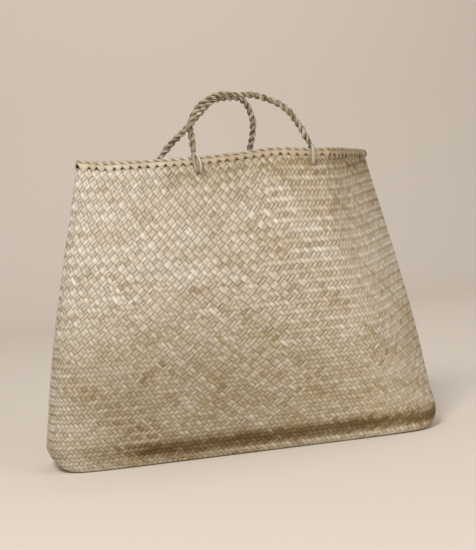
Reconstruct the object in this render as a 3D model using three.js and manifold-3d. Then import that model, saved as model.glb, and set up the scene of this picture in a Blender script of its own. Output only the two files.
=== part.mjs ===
// Hand-plaited seagrass shopping bag with two twisted-rope handles, standing on its flat base.
// Millimetres, +Z up. The origin is the middle of the base, +X runs along the bag and -Y is its front.

import * as THREE from "three";
import Module from "manifold-3d";
import { mergeVertices } from "three/addons/utils/BufferGeometryUtils.js";

const wasm = await Module();
wasm.setup();

// Sizes of the bag
const BAG_HEIGHT = 370;
const BASE_LENGTH = 508;
const BASE_DEPTH = 118;
const MOUTH_LENGTH = 372;
const MOUTH_DEPTH = 46;
const WALL_THICKNESS = 3;
const BASE_THICKNESS = 3.5;

// The heel is the round of the two narrow ends and the foot the round edge that runs under the wall.
// The groove is a pinch along the front and the back just above the foot, and it fades out further up.
const HEEL_RADIUS = 30;
const FOOT_RADIUS = 3.5;
const GROOVE_DEPTH = 4.5;
const GROOVE_HEIGHT = 10;
const GROOVE_BELOW = 4.5;
const GROOVE_ABOVE = 14;

// The bag is soft and its right end is turned back. TURN_BACK is how far the mouth's right end lies behind
// its left end. TURN_STRETCH is how much further out that end lies, as a share of the turn. The front is
// straight up to a fold, and the back wall bends all along; the two bends are powers. The middle of the
// turned bag's box is then moved over the origin.
const TURN_BACK = 85;
const TURN_STRETCH = 0.372;
const FRONT_BEND = 1.3;
const BACK_BEND = 2.2;
const MOVE_LEFT = 3.5;
const MOVE_FORWARD = 13;

// Braided rim on the wall's top edge
const RIM_HEIGHT = 11;
const RIM_THICKNESS = 9;
const RIM_WAVE = 4;
const SEAT_GAP = 0.3;

// Twisted-rope handles, each with a loop of one strand at either end
const ROPE_DIAMETER = 8.4;
const HANDLE_RISE = 75;
const HANDLE_LEAN = 14;
const LOOP_STRAND = 4.8;
const LOOP_DROP = 20;
const LOOP_CLEARANCE = 0.9;
const HOLE_CLEARANCE = 0.8;
const FRONT_FEET = { left: -44, right: 100 };
const BACK_FEET = { left: -77.5, right: 43.5 };

// Facets round a ring of the wall, a rope and a strand
const RING_COLUMNS = 64;
const CURVE_SAMPLES = 180;
const RIM_SIDES = 12;
const ROPE_SIDES = 12;
const STRAND_SIDES = 8;
const ROPE_STEPS = 44;
const LOOP_STEPS = 28;

// Sections of the wall from the base to the mouth. "up" is a share of BAG_HEIGHT. "flare", "front" and
// "back" are shares of what the base measures more than the mouth. "squareness" is the power of the
// section's outline: 2 is an oval, and a large one a rectangle with round corners. "turn" is a share of
// TURN_BACK, and "fold" is where the front folds, as a share of the half length.
const SECTIONS = [
  { up: 0.0, flare: 1.0, front: 1.0, back: 1.0, squareness: 9.0, turn: 0.0, fold: 0.8 },
  { up: 0.06, flare: 0.98, front: 1.05, back: 1.06, squareness: 5.0, turn: 0.1, fold: 0.78 },
  { up: 0.15, flare: 0.92, front: 1.1, back: 1.14, squareness: 3.4, turn: 0.27, fold: 0.72 },
  { up: 0.3, flare: 0.81, front: 1.14, back: 1.06, squareness: 3.0, turn: 0.52, fold: 0.62 },
  { up: 0.6, flare: 0.5, front: 0.8, back: 0.66, squareness: 2.6, turn: 0.82, fold: 0.54 },
  { up: 0.85, flare: 0.19, front: 0.32, back: 0.25, squareness: 2.2, turn: 0.94, fold: 0.57 },
  { up: 1.0, flare: 0.0, front: 0.0, back: 0.0, squareness: 2.0, turn: 1.0, fold: 0.62 },
];

// How far the rim rises above or sags below its level. "along" runs from the left end at -1 to the right
// end at 1, "front" and "back" are shares of RIM_WAVE.
const RIM_LINE = [
  { along: -1.0, front: 1.0, back: 1.0 },
  { along: -0.8, front: -0.4, back: 0.4 },
  { along: -0.3, front: -0.5, back: -0.2 },
  { along: 0.0, front: -0.1, back: -0.4 },
  { along: 0.3, front: 0.9, back: 0.0 },
  { along: 0.6, front: -0.1, back: 0.4 },
  { along: 1.0, front: 0.0, back: 0.0 },
];

// Route of each rope. "along" is a share of the way from its left foot to its right foot, "rise" a share of
// HANDLE_RISE. The ropes are soft and stand a little skewed.
const FRONT_ROUTE = [
  { along: 0.0, rise: 0.0 },
  { along: 0.0, rise: 0.25 },
  { along: 0.0, rise: 0.5 },
  { along: 0.1, rise: 0.8 },
  { along: 0.25, rise: 0.95 },
  { along: 0.4, rise: 0.95 },
  { along: 0.6, rise: 0.9 },
  { along: 0.8, rise: 0.7 },
  { along: 0.9, rise: 0.45 },
  { along: 1.0, rise: 0.0 },
];
const BACK_ROUTE = [
  { along: 0.0, rise: 0.0 },
  { along: 0.15, rise: 0.25 },
  { along: 0.3, rise: 0.45 },
  { along: 0.45, rise: 0.7 },
  { along: 0.6, rise: 0.9 },
  { along: 0.8, rise: 0.95 },
  { along: 0.95, rise: 0.9 },
  { along: 1.05, rise: 0.6 },
  { along: 1.05, rise: 0.3 },
  { along: 1.0, rise: 0.0 },
];

// Heights of the rows of facets, in shares of the stretch that they cover
const FOOT_ROWS = [0.25, 0.6, 1.0];
const GROOVE_ROWS = [-1.0, -0.5, 0.0, 0.3, 0.6, 1.0, 1.5, 2.0];
const WALL_ROWS = [0.08, 0.17, 0.27, 0.38, 0.5, 0.62, 0.73, 0.83, 0.92];
const INNER_ROWS = [0.008, 0.02, 0.035, 0.055, 0.085, 0.14, 0.21, 0.3, 0.42, 0.54, 0.66, 0.78, 0.88];

// A column of a table at a place between its rows: a cubic that never overshoots a row
function tableValue(rows, key, column, place) {
  const last = rows.length - 1;
  if (place <= rows[0][key]) return rows[0][column];
  if (place >= rows[last][key]) return rows[last][column];
  const slopes = [];
  for (let k = 0; k < last; k++) {
    slopes.push((rows[k + 1][column] - rows[k][column]) / (rows[k + 1][key] - rows[k][key]));
  }
  const tangent = (k) => {
    if (k === 0) return slopes[0];
    if (k === last) return slopes[last - 1];
    const before = slopes[k - 1];
    const after = slopes[k];
    return before * after <= 0 ? 0 : (2 * before * after) / (before + after);
  };
  let k = 0;
  while (place > rows[k + 1][key]) k++;
  const span = rows[k + 1][key] - rows[k][key];
  const s = (place - rows[k][key]) / span;
  const start = (1 + 2 * s) * (1 - s) ** 2 * rows[k][column] + s * (1 - s) ** 2 * span * tangent(k);
  const end = s * s * (3 - 2 * s) * rows[k + 1][column] + s * s * (s - 1) * span * tangent(k + 1);
  return start + end;
}

// How far a round edge of this radius has drawn in at this height above the floor
function roundedInset(height, radius) {
  if (height >= radius) return 0;
  return radius * (1 - Math.sqrt(1 - (1 - height / radius) ** 2));
}

// Half length, front reach and back reach of the wall's outside at a height, drawn in by an inset. "whole"
// keeps the outside's own, because the turn moves both faces of the wall alike.
function planAt(height, inset = 0) {
  const up = height / BAG_HEIGHT;
  const spread = height < GROOVE_HEIGHT ? GROOVE_BELOW : GROOVE_ABOVE;
  const groove = GROOVE_DEPTH * Math.exp(-(((height - GROOVE_HEIGHT) / spread) ** 2));
  const reach = (mouth, base, column) => (mouth + (base - mouth) * tableValue(SECTIONS, "up", column, up)) / 2;
  const whole = {
    length: reach(MOUTH_LENGTH, BASE_LENGTH, "flare") - roundedInset(height, HEEL_RADIUS),
    front: reach(MOUTH_DEPTH, BASE_DEPTH, "front") - roundedInset(height, FOOT_RADIUS) - groove,
    back: reach(MOUTH_DEPTH, BASE_DEPTH, "back") - roundedInset(height, FOOT_RADIUS) - groove,
  };
  return {
    whole,
    length: whole.length - inset,
    front: whole.front - inset,
    back: whole.back - inset,
    squareness: tableValue(SECTIONS, "up", "squareness", up),
    turn: TURN_BACK * tableValue(SECTIONS, "up", "turn", up),
    fold: tableValue(SECTIONS, "up", "fold", up),
  };
}

// Where a point of a straight section comes to lie once the bag's right end is turned back. Between the
// front and the back the bend goes smoothly from the one to the other.
function turned(x, y, plan) {
  const place = x / plan.whole.length;
  const frontBend = Math.max(0, (place - plan.fold) / (1 - plan.fold)) ** FRONT_BEND;
  const backBend = Math.max(0, (place + 1) / 2) ** BACK_BEND;
  const reach = y < 0 ? plan.front : plan.back;
  const fromMiddle = 0.5 * Math.max(0, 1 - Math.abs(y) / reach) ** 2;
  const share = y < 0 ? fromMiddle : 1 - fromMiddle;
  const bend = frontBend * (1 - share) + backBend * share;
  const stretch = TURN_STRETCH * plan.turn * Math.max(0, place) ** 2;
  return { x: x + stretch - MOVE_LEFT, y: y + plan.turn * bend - MOVE_FORWARD };
}

// One half of a section's outline, as evenly spaced points from the left end to the right end. "along" is
// a point's place on the straight section, from -1 to 1.
function halfOutline(plan, side, count) {
  const depth = side < 0 ? plan.front : plan.back;
  const dense = [];
  for (let k = 0; k <= CURVE_SAMPLES; k++) {
    const angle = (Math.PI * k) / CURVE_SAMPLES;
    const c = -Math.cos(angle);
    const s = k === 0 || k === CURVE_SAMPLES ? 0 : Math.sin(angle);
    const along = Math.sign(c) * Math.abs(c) ** (2 / plan.squareness);
    const y = side * depth * s ** (2 / plan.squareness);
    dense.push({ ...turned(along * plan.length, y, plan), along });
  }
  const travelled = [0];
  for (let k = 1; k < dense.length; k++) {
    travelled.push(travelled[k - 1] + Math.hypot(dense[k].x - dense[k - 1].x, dense[k].y - dense[k - 1].y));
  }
  const points = [];
  let k = 0;
  for (let step = 0; step <= count; step++) {
    const target = (travelled[CURVE_SAMPLES] * step) / count;
    while (k < CURVE_SAMPLES - 1 && travelled[k + 1] < target) k++;
    const share = (target - travelled[k]) / (travelled[k + 1] - travelled[k]);
    const between = (key) => dense[k][key] + share * (dense[k + 1][key] - dense[k][key]);
    points.push({ x: between("x"), y: between("y"), along: between("along"), side });
  }
  return points;
}

// A whole outline, counter-clockwise from above: along the front from the left end, back along the back
function wholeOutline(plan) {
  const front = halfOutline(plan, -1, RING_COLUMNS / 2);
  const back = halfOutline(plan, 1, RING_COLUMNS / 2);
  return [...front.slice(0, -1), ...back.slice(1).reverse()];
}

// Rise of the rim's line above its level at a place along the front (-1) or the back (1)
function rimLift(along, side) {
  return RIM_WAVE * tableValue(RIM_LINE, "along", side < 0 ? "front" : "back", along);
}

// A closed ring of points round the bag, drawn in from the wall's outside. The lift fades out below the
// rim with the cube of the height.
function ringAt(height, inset, planHeight = height) {
  const fade = (height / BAG_HEIGHT) ** 3;
  return wholeOutline(planAt(planHeight, inset)).map(
    (p) => new THREE.Vector3(p.x, p.y, height + fade * rimLift(p.along, p.side)),
  );
}

// A triangle mesh over rings of equal counts. A closed one joins its last ring to its first, an open
// one gets a flat cap at both ends.
function skinRings(rings, closed) {
  const count = rings[0].length;
  const positions = [];
  const triangles = [];
  for (const ring of rings) {
    for (const p of ring) positions.push(p.x, p.y, p.z);
  }
  const bands = closed ? rings.length : rings.length - 1;
  for (let r = 0; r < bands; r++) {
    const next = (r + 1) % rings.length;
    for (let c = 0; c < count; c++) {
      const d = (c + 1) % count;
      const corner = [r * count + c, r * count + d, next * count + d, next * count + c];
      triangles.push(corner[0], corner[1], corner[2], corner[0], corner[2], corner[3]);
    }
  }
  if (!closed) {
    for (const [r, flip] of [[0, true], [rings.length - 1, false]]) {
      const middle = positions.length / 3;
      const centre = rings[r].reduce((sum, p) => sum.add(p), new THREE.Vector3()).divideScalar(count);
      positions.push(centre.x, centre.y, centre.z);
      for (let c = 0; c < count; c++) {
        const a = r * count + c;
        const b = r * count + ((c + 1) % count);
        triangles.push(middle, flip ? b : a, flip ? a : b);
      }
    }
  }
  const geometry = new THREE.BufferGeometry();
  geometry.setAttribute("position", new THREE.Float32BufferAttribute(positions, 3));
  geometry.setIndex(triangles);
  return geometry;
}

// A round tube along a curve. A closed curve gives a ring with no caps.
function tubeAlong(curve, radius, steps, sides, closed) {
  const frames = curve.computeFrenetFrames(steps, closed);
  const rings = [];
  for (let k = 0; k < (closed ? steps : steps + 1); k++) {
    const centre = curve.getPointAt(k / steps);
    const ring = [];
    for (let c = 0; c < sides; c++) {
      const angle = (2 * Math.PI * c) / sides;
      const offset = frames.normals[k].clone().multiplyScalar(radius * Math.cos(angle));
      offset.addScaledVector(frames.binormals[k], radius * Math.sin(angle));
      ring.push(centre.clone().add(offset));
    }
    rings.push(ring);
  }
  return skinRings(rings, closed);
}

// Geometry to solid and back, for cuts and joins
function toSolid(geometry) {
  const bare = geometry.clone();
  bare.deleteAttribute("normal");
  bare.deleteAttribute("uv");
  const merged = mergeVertices(bare, 1e-4);
  const mesh = new wasm.Mesh({
    numProp: 3,
    vertProperties: new Float32Array(merged.attributes.position.array),
    triVerts: new Uint32Array(merged.index.array),
  });
  return new wasm.Manifold(mesh);
}

function toGeometry(solid) {
  const mesh = solid.getMesh();
  const geometry = new THREE.BufferGeometry();
  geometry.setAttribute("position", new THREE.BufferAttribute(new Float32Array(mesh.vertProperties), 3));
  geometry.setIndex(new THREE.BufferAttribute(new Uint32Array(mesh.triVerts), 1));
  geometry.computeVertexNormals();
  return geometry;
}

// Middle of the wall's thickness at a height on the front (-1) or the back (1). x is the place on the
// straight section.
function wallPoint(x, height, side) {
  const plan = planAt(height, WALL_THICKNESS / 2);
  const along = x / plan.length;
  const across = (1 - Math.abs(along) ** plan.squareness) ** (1 / plan.squareness);
  const place = turned(x, side * (side < 0 ? plan.front : plan.back) * across, plan);
  const lift = (height / BAG_HEIGHT) ** 3 * rimLift(along, side);
  return new THREE.Vector3(place.x, place.y, height + lift);
}

// Wall and base in one shell: up the outside, over the top edge and down the inside
function wovenShell() {
  const wallTop = BAG_HEIGHT - RIM_HEIGHT - SEAT_GAP;
  const grooveTop = GROOVE_HEIGHT + 2 * GROOVE_ABOVE;
  const outside = [
    0,
    ...FOOT_ROWS.map((share) => share * FOOT_RADIUS),
    ...GROOVE_ROWS.map((share) => GROOVE_HEIGHT + share * (share < 0 ? GROOVE_BELOW : GROOVE_ABOVE)),
    ...WALL_ROWS.map((share) => grooveTop + share * (wallTop - grooveTop)),
    wallTop,
  ];
  const rings = outside.map((height) => ringAt(height, 0));
  const inside = [0, ...INNER_ROWS, 1].map((share) => BASE_THICKNESS + share * (wallTop - BASE_THICKNESS));
  for (const height of inside.reverse()) {
    const nearBase = Math.max(0, 1 - (height - BASE_THICKNESS) / HEEL_RADIUS);
    rings.push(ringAt(height, WALL_THICKNESS, height - BASE_THICKNESS * nearBase));
  }
  return toSolid(skinRings(rings, false));
}

// The rim's ring carries on the slope of the wall below it. Its section is a rectangle with round corners.
function rimGeometry() {
  const level = BAG_HEIGHT - RIM_HEIGHT / 2;
  const rings = [];
  for (let k = 0; k < RIM_SIDES; k++) {
    const angle = (2 * Math.PI * k) / RIM_SIDES;
    const out = (RIM_THICKNESS / 2) * Math.sign(Math.cos(angle)) * Math.sqrt(Math.abs(Math.cos(angle)));
    const up = (RIM_HEIGHT / 2) * Math.sign(Math.sin(angle)) * Math.sqrt(Math.abs(Math.sin(angle)));
    const outline = wholeOutline(planAt(level + up, WALL_THICKNESS / 2 - out));
    rings.push(outline.map((p) => new THREE.Vector3(p.x, p.y, level + up + rimLift(p.along, p.side))));
  }
  return skinRings(rings, true);
}

// Where a handle's end loop lies: its middle in the weave, the way up along the wall, and the way out
function loopFrame(x, side) {
  const low = wallPoint(x, BAG_HEIGHT - LOOP_DROP, side);
  const high = wallPoint(x, BAG_HEIGHT, side);
  const up = high.clone().sub(low).normalize();
  const ahead = wallPoint(x + LOOP_STRAND, BAG_HEIGHT, side).sub(high);
  const out = new THREE.Vector3().crossVectors(up, ahead).normalize().multiplyScalar(side);
  const rimTop = high.clone().addScaledVector(up, LOOP_CLEARANCE + LOOP_STRAND / 2);
  return { low, up, out, height: rimTop.distanceTo(low), top: rimTop };
}

// The loop of one strand that goes through the weave and closes round the rim
function loopSolid(x, side) {
  const frame = loopFrame(x, side);
  const halfWidth = RIM_THICKNESS / 2 + LOOP_CLEARANCE + LOOP_STRAND / 2;
  const points = [];
  for (let k = 0; k < LOOP_STEPS; k++) {
    const angle = (2 * Math.PI * k) / LOOP_STEPS;
    const c = Math.sign(Math.cos(angle)) * Math.sqrt(Math.abs(Math.cos(angle)));
    const s = Math.sign(Math.sin(angle)) * Math.sqrt(Math.abs(Math.sin(angle)));
    const point = frame.low.clone().addScaledVector(frame.up, (frame.height / 2) * (1 + s));
    points.push(point.addScaledVector(frame.out, halfWidth * c));
  }
  const curve = new THREE.CatmullRomCurve3(points, true);
  return toSolid(tubeAlong(curve, LOOP_STRAND / 2, LOOP_STEPS, STRAND_SIDES, true));
}

// A straight cutter through the wall for one loop
function loopHole(x, side) {
  const frame = loopFrame(x, side);
  const reach = 2 * WALL_THICKNESS;
  const start = frame.low.clone().addScaledVector(frame.out, -reach);
  const end = frame.low.clone().addScaledVector(frame.out, reach);
  const line = new THREE.LineCurve3(start, end);
  return toSolid(tubeAlong(line, LOOP_STRAND / 2 + HOLE_CLEARANCE, 1, STRAND_SIDES, false));
}

// A whole handle: the rope and its two end loops joined
function handleGeometry(feet, route, side) {
  const left = loopFrame(feet.left, side).top;
  const right = loopFrame(feet.right, side).top;
  const points = route.map(({ along, rise }) => {
    const point = left.clone().lerp(right, along);
    point.y -= side * HANDLE_LEAN * rise;
    point.z += HANDLE_RISE * rise;
    return point;
  });
  const curve = new THREE.CatmullRomCurve3(points, false, "centripetal");
  const rope = toSolid(tubeAlong(curve, ROPE_DIAMETER / 2, ROPE_STEPS, ROPE_SIDES, false));
  return toGeometry(rope.add(loopSolid(feet.left, side)).add(loopSolid(feet.right, side)));
}

function bodyGeometry() {
  let shell = wovenShell();
  for (const [feet, side] of [[FRONT_FEET, -1], [BACK_FEET, 1]]) {
    shell = shell.subtract(loopHole(feet.left, side)).subtract(loopHole(feet.right, side));
  }
  return toGeometry(shell);
}

const bag = new THREE.Group();

function addPiece(name, geometry, color, roughness) {
  const material = new THREE.MeshStandardMaterial({ color, roughness, metalness: 0 });
  material.name = name;
  const mesh = new THREE.Mesh(geometry, material);
  mesh.name = name;
  bag.add(mesh);
}

addPiece("woven_body", bodyGeometry(), 0xc2b48f, 0.75);
addPiece("braided_rim", rimGeometry(), 0xd2bd98, 0.75);
addPiece("handle_front", handleGeometry(FRONT_FEET, FRONT_ROUTE, -1), 0xa39470, 0.8);
addPiece("handle_back", handleGeometry(BACK_FEET, BACK_ROUTE, 1), 0x9c8d6c, 0.8);

export default bag;
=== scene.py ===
# %% [markdown]
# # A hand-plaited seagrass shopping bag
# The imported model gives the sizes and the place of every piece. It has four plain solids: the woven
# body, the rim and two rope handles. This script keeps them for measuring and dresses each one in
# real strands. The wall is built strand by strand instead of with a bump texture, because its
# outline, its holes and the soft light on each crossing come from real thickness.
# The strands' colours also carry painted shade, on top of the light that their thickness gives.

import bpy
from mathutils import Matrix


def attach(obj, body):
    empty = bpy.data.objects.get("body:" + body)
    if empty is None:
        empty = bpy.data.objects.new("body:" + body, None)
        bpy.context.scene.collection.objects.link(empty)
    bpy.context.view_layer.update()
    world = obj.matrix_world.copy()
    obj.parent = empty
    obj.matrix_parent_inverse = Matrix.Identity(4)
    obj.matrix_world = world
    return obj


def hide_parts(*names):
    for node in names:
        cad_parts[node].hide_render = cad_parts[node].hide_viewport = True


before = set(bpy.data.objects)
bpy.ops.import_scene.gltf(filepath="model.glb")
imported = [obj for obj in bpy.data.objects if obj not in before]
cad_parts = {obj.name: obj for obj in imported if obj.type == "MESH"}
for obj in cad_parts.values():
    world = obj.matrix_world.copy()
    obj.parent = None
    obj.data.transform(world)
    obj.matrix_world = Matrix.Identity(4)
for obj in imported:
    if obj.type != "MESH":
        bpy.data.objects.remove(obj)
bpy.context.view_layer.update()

import math

import bmesh
import bpy
import numpy as np
from mathutils import Matrix, Vector

MM = 0.001
random = np.random.default_rng(17)

# %% [markdown]
# ## Camera
# The bag is seen almost from the front and from just above the floor. In the photograph it leans a
# little, so the camera is rolled by a few degrees. The lens is a short telephoto. The small shift
# only frames the bag as in the photograph.

# %% Camera
AZIMUTH = math.radians(-14.19)
ELEVATION = math.radians(3.0)
ROLL = math.radians(-4.49)
AIM = np.array([-3.5, -13, 195]) * MM
DISTANCE = 1541.8 * MM

backward = np.array([
    math.sin(AZIMUTH) * math.cos(ELEVATION),
    -math.cos(AZIMUTH) * math.cos(ELEVATION),
    math.sin(ELEVATION),
])
level_right = np.array([math.cos(AZIMUTH), math.sin(AZIMUTH), 0.0])
level_up = np.cross(level_right, -backward)
right = math.cos(ROLL) * level_right + math.sin(ROLL) * level_up
up = math.cos(ROLL) * level_up - math.sin(ROLL) * level_right
eye = AIM + backward * DISTANCE

lens = bpy.data.cameras.new("camera")
lens.lens = 79.65
lens.sensor_width = 36
lens.shift_x = 0.0048
lens.shift_y = 0.0320
camera = bpy.data.objects.new("camera", lens)
rows = [[*axis, offset] for axis, offset in zip(np.array([right, up, backward]).T, eye)]
camera.matrix_world = Matrix(rows + [[0, 0, 0, 1]])
bpy.context.scene.collection.objects.link(camera)
bpy.context.scene.camera = camera
print("camera at", np.round(eye, 3))

# %% [markdown]
# ## The bag's surface
# The strands need a surface to run on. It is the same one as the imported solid's: a stack of
# rounded outlines from the flat base to the narrow mouth, taken here in the middle of the wall's
# thickness. The tables and sizes repeat the solid's own. Each outline is walked at even steps,
# because strands are spread evenly round the bag.

# %% Sizes of the bag and its sections
BAG_HEIGHT = 370 * MM
BASE = {"length": 508 * MM, "depth": 118 * MM}
MOUTH = {"length": 372 * MM, "depth": 46 * MM}
HALF_WALL = 1.5 * MM
HEEL_RADIUS = 30 * MM
FOOT_RADIUS = 3.5 * MM
GROOVE = {"depth": 4.5 * MM, "height": 10 * MM, "below": 4.5 * MM, "above": 14 * MM}
RIM_HEIGHT = 11 * MM
RIM_THICKNESS = 9 * MM
RIM_WAVE = 4 * MM
TURN = {"back": 85 * MM, "stretch": 0.372, "front_bend": 1.3, "back_bend": 2.2}
MOVE = np.array([-3.5, -13]) * MM

SECTION_UP = [0, 0.06, 0.15, 0.3, 0.6, 0.85, 1]
SECTION = {
    "flare": [1, 0.98, 0.92, 0.81, 0.5, 0.19, 0],
    "front": [1, 1.05, 1.1, 1.14, 0.8, 0.32, 0],
    "back": [1, 1.06, 1.14, 1.06, 0.66, 0.25, 0],
    "squareness": [9, 5, 3.4, 3, 2.6, 2.2, 2],
    "turn": [0, 0.1, 0.27, 0.52, 0.82, 0.94, 1],
    "fold": [0.8, 0.78, 0.72, 0.62, 0.54, 0.57, 0.62],
}
RIM_ALONG = [-1, -0.8, -0.3, 0, 0.3, 0.6, 1]
RIM_FRONT = [1, -0.4, -0.5, -0.1, 0.9, -0.1, 0]
RIM_BACK = [1, 0.4, -0.2, -0.4, 0, 0.4, 0]

# %% The section at a height
def smooth_table(places, values, at):
    """Values of a table between its rows: a cubic that never overshoots a row."""
    places, values = np.array(places, float), np.array(values, float)
    at = np.clip(at, places[0], places[-1])
    slopes = np.diff(values) / np.diff(places)
    before, after = slopes[:-1], slopes[1:]
    turning = before * after <= 0
    inner = np.where(turning, 0, 2 * before * after / np.where(turning, 1, before + after))
    tangents = np.concatenate([slopes[:1], inner, slopes[-1:]])
    k = np.clip(np.searchsorted(places, at, side="left") - 1, 0, len(slopes) - 1)
    span = places[k + 1] - places[k]
    s = (at - places[k]) / span
    start = (1 + 2 * s) * (1 - s) ** 2 * values[k] + s * (1 - s) ** 2 * span * tangents[k]
    end = s * s * (3 - 2 * s) * values[k + 1] + s * s * (s - 1) * span * tangents[k + 1]
    return start + end


def rounded_inset(height, radius):
    """How far a round edge of this radius has drawn in at this height above its lowest line."""
    share = np.clip(1 - height / radius, 0, 1)
    return radius * (1 - np.sqrt(1 - share**2))


def middle_plan(height, inset=0.0):
    """The section in the middle of the wall at a height, drawn in by an inset."""
    share = height / BAG_HEIGHT
    spread = GROOVE["below"] if height < GROOVE["height"] else GROOVE["above"]
    pinch = GROOVE["depth"] * math.exp(-(((height - GROOVE["height"]) / spread) ** 2))
    plan = {}
    for key in ("squareness", "turn", "fold"):
        plan[key] = float(smooth_table(SECTION_UP, SECTION[key], share))
    for name, key, size, radius in [("length", "flare", "length", HEEL_RADIUS),
                                    ("front", "front", "depth", FOOT_RADIUS),
                                    ("back", "back", "depth", FOOT_RADIUS)]:
        flare = smooth_table(SECTION_UP, SECTION[key], share)
        full = (MOUTH[size] + (BASE[size] - MOUTH[size]) * flare) / 2
        pinched = 0 if size == "length" else pinch
        drawn_in = rounded_inset(height - HALF_WALL, radius - HALF_WALL)
        plan[name] = full - pinched - HALF_WALL - drawn_in - inset
    plan["whole"] = plan["length"] + HALF_WALL + inset
    return plan


# %% One outline of the bag
SWEEP = np.linspace(0, math.pi, 1201)
END_CROWDING = 0.07


def turned(x, y, plan):
    """Where points of a straight section come to lie once the bag's right end is turned back."""
    place = x / plan["whole"]
    front_bend = np.maximum(0, (place - plan["fold"]) / (1 - plan["fold"])) ** TURN["front_bend"]
    back_bend = np.maximum(0, (place + 1) / 2) ** TURN["back_bend"]
    reach = np.where(y < 0, plan["front"], plan["back"])
    from_middle = 0.5 * np.maximum(0, 1 - np.abs(y) / reach) ** 2
    share = np.where(y < 0, from_middle, 1 - from_middle)
    bend = front_bend * (1 - share) + back_bend * share
    back = TURN["back"] * plan["turn"]
    stretch = TURN["stretch"] * back * np.maximum(0, place) ** 2
    return x + stretch + MOVE[0], y + back * bend + MOVE[1]


def outline(plan, count):
    """Points round the bag from its left end, along the front first, a little closer at the two ends.

    Gives the points, each one's place along the straight section, its side, and the distance round."""
    points, places, sides = [], [], []
    total = 0
    for side, depth in [(-1, plan["front"]), (1, plan["back"])]:
        place = -np.sign(np.cos(SWEEP)) * np.abs(np.cos(SWEEP)) ** (2 / plan["squareness"])
        y = side * depth * np.abs(np.sin(SWEEP)) ** (2 / plan["squareness"])
        bent_x, bent_y = turned(place * plan["length"], y, plan)
        travelled = np.concatenate([[0], np.cumsum(np.hypot(np.diff(bent_x), np.diff(bent_y)))])
        step = np.arange(count // 2) / (count // 2)
        even = travelled[-1] * (step - END_CROWDING * np.sin(2 * math.pi * step) / (2 * math.pi))
        if side > 0:
            even = travelled[-1] - even
        points.append(np.column_stack([np.interp(even, travelled, line) for line in (bent_x, bent_y)]))
        places.append(np.interp(even, travelled, place))
        sides.append(np.full(count // 2, side))
        total += travelled[-1]
    return np.concatenate(points), np.concatenate(places), np.concatenate(sides), total


def rim_lift(place, side):
    """Rise of the rim's line above its level."""
    front = smooth_table(RIM_ALONG, RIM_FRONT, place)
    back = smooth_table(RIM_ALONG, RIM_BACK, place)
    return RIM_WAVE * np.where(side < 0, front, back)


# %% [markdown]
# ## How the strands lie
# The bag is plaited on the bias: one set of strands climbs to the right and the other to the left,
# and both run right round it. The count of strands stays the same from base to mouth, so they
# stand steeper where the bag is narrower. Two coordinates describe this. "round" counts strands
# round the bag and "course" counts the rows of crossings upwards. A strand is then a straight line
# in these two, and the surface bends it.

# %% Courses of the weave
STRANDS = 184
COLUMNS_A_STRAND = 5
STRAND_PITCH = 4.2 * MM
STRAND_TOP = 363 * MM
COURSE_HEIGHT_AT = np.array([0, 60, 120, 200, 300, 363]) * MM
COURSE_HEIGHT = np.array([4.9, 5.2, 5.7, 6.2, 6.65, 6.7]) * MM

# At the turned end the rows of the weave climb. The rise is given at heights, and it starts at this
# share of the half length.
END_RISE = np.array([0, 8, 17, 19, 14, 11, 12]) * MM
END_RISE_AT = np.array([0, 25, 60, 110, 190, 290, 363]) * MM
END_STARTS = 0.66

TUCK = 10 * MM
COURSE_STEP = 1 / 8
COLUMNS = STRANDS * COLUMNS_A_STRAND
LEVELS = 240

heights = np.linspace(HALF_WALL, STRAND_TOP, LEVELS)
plans = [middle_plan(height) for height in heights]
girth_at_base = outline(plans[0], COLUMNS)[3]
front_reach = np.array([plan["front"] for plan in plans])
course_size = smooth_table(COURSE_HEIGHT_AT, COURSE_HEIGHT, heights)
climb = np.hypot(np.diff(heights), np.diff(front_reach))
courses_at = np.concatenate([[0], np.cumsum(climb * 2 / (course_size[1:] + course_size[:-1]))])
COURSES = math.floor(courses_at[-1] * 4) / 4
TUCK_COURSES = math.ceil(TUCK / course_size[0])
print("courses:", round(courses_at[-1], 1), "strands each way:", STRANDS)
print("girth at the base in mm:", round(girth_at_base / MM))

# %% A fine grid on the surface, with its normals
def step_up(value, start, end):
    """0 before start, 1 after end, and smooth between."""
    share = np.clip((value - start) / (end - start), 0, 1)
    return share * share * (3 - 2 * share)


course_rows = np.arange(-TUCK_COURSES, COURSES + COURSE_STEP, COURSE_STEP)
grid = np.zeros((len(course_rows), COLUMNS, 3))
end_shift = np.zeros((len(course_rows), COLUMNS))
for row, course in enumerate(course_rows):
    height = float(np.interp(max(course, 0), courses_at, heights))
    ring, place, side, _ = outline(middle_plan(height, max(-course, 0) * course_size[0]), COLUMNS)
    lift = (height / BAG_HEIGHT) ** 3 * rim_lift(place, side)
    grid[row] = np.column_stack([ring, height + lift])
    rise = smooth_table(END_RISE_AT, END_RISE, height) / np.interp(height, heights, course_size)
    end_shift[row] = rise * step_up(place, END_STARTS, 1)

along = np.roll(grid, -1, axis=1) - np.roll(grid, 1, axis=1)
upward = np.gradient(grid, axis=0)
normals = np.cross(along, upward)

last_row = len(course_rows) - 1.001
shifted = np.clip((course_rows[:, None] + end_shift - course_rows[0]) / COURSE_STEP, 0, last_row)
below = np.floor(shifted).astype(int)
share = (shifted - below)[..., None]
column = np.arange(COLUMNS)[None]
grid = grid[below, column] * (1 - share) + grid[below + 1, column] * share
normals = normals[below, column] * (1 - share) + normals[below + 1, column] * share
normals /= np.linalg.norm(normals, axis=2, keepdims=True)
print("grid on the surface:", len(grid), "rows of", COLUMNS, "points")

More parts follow.
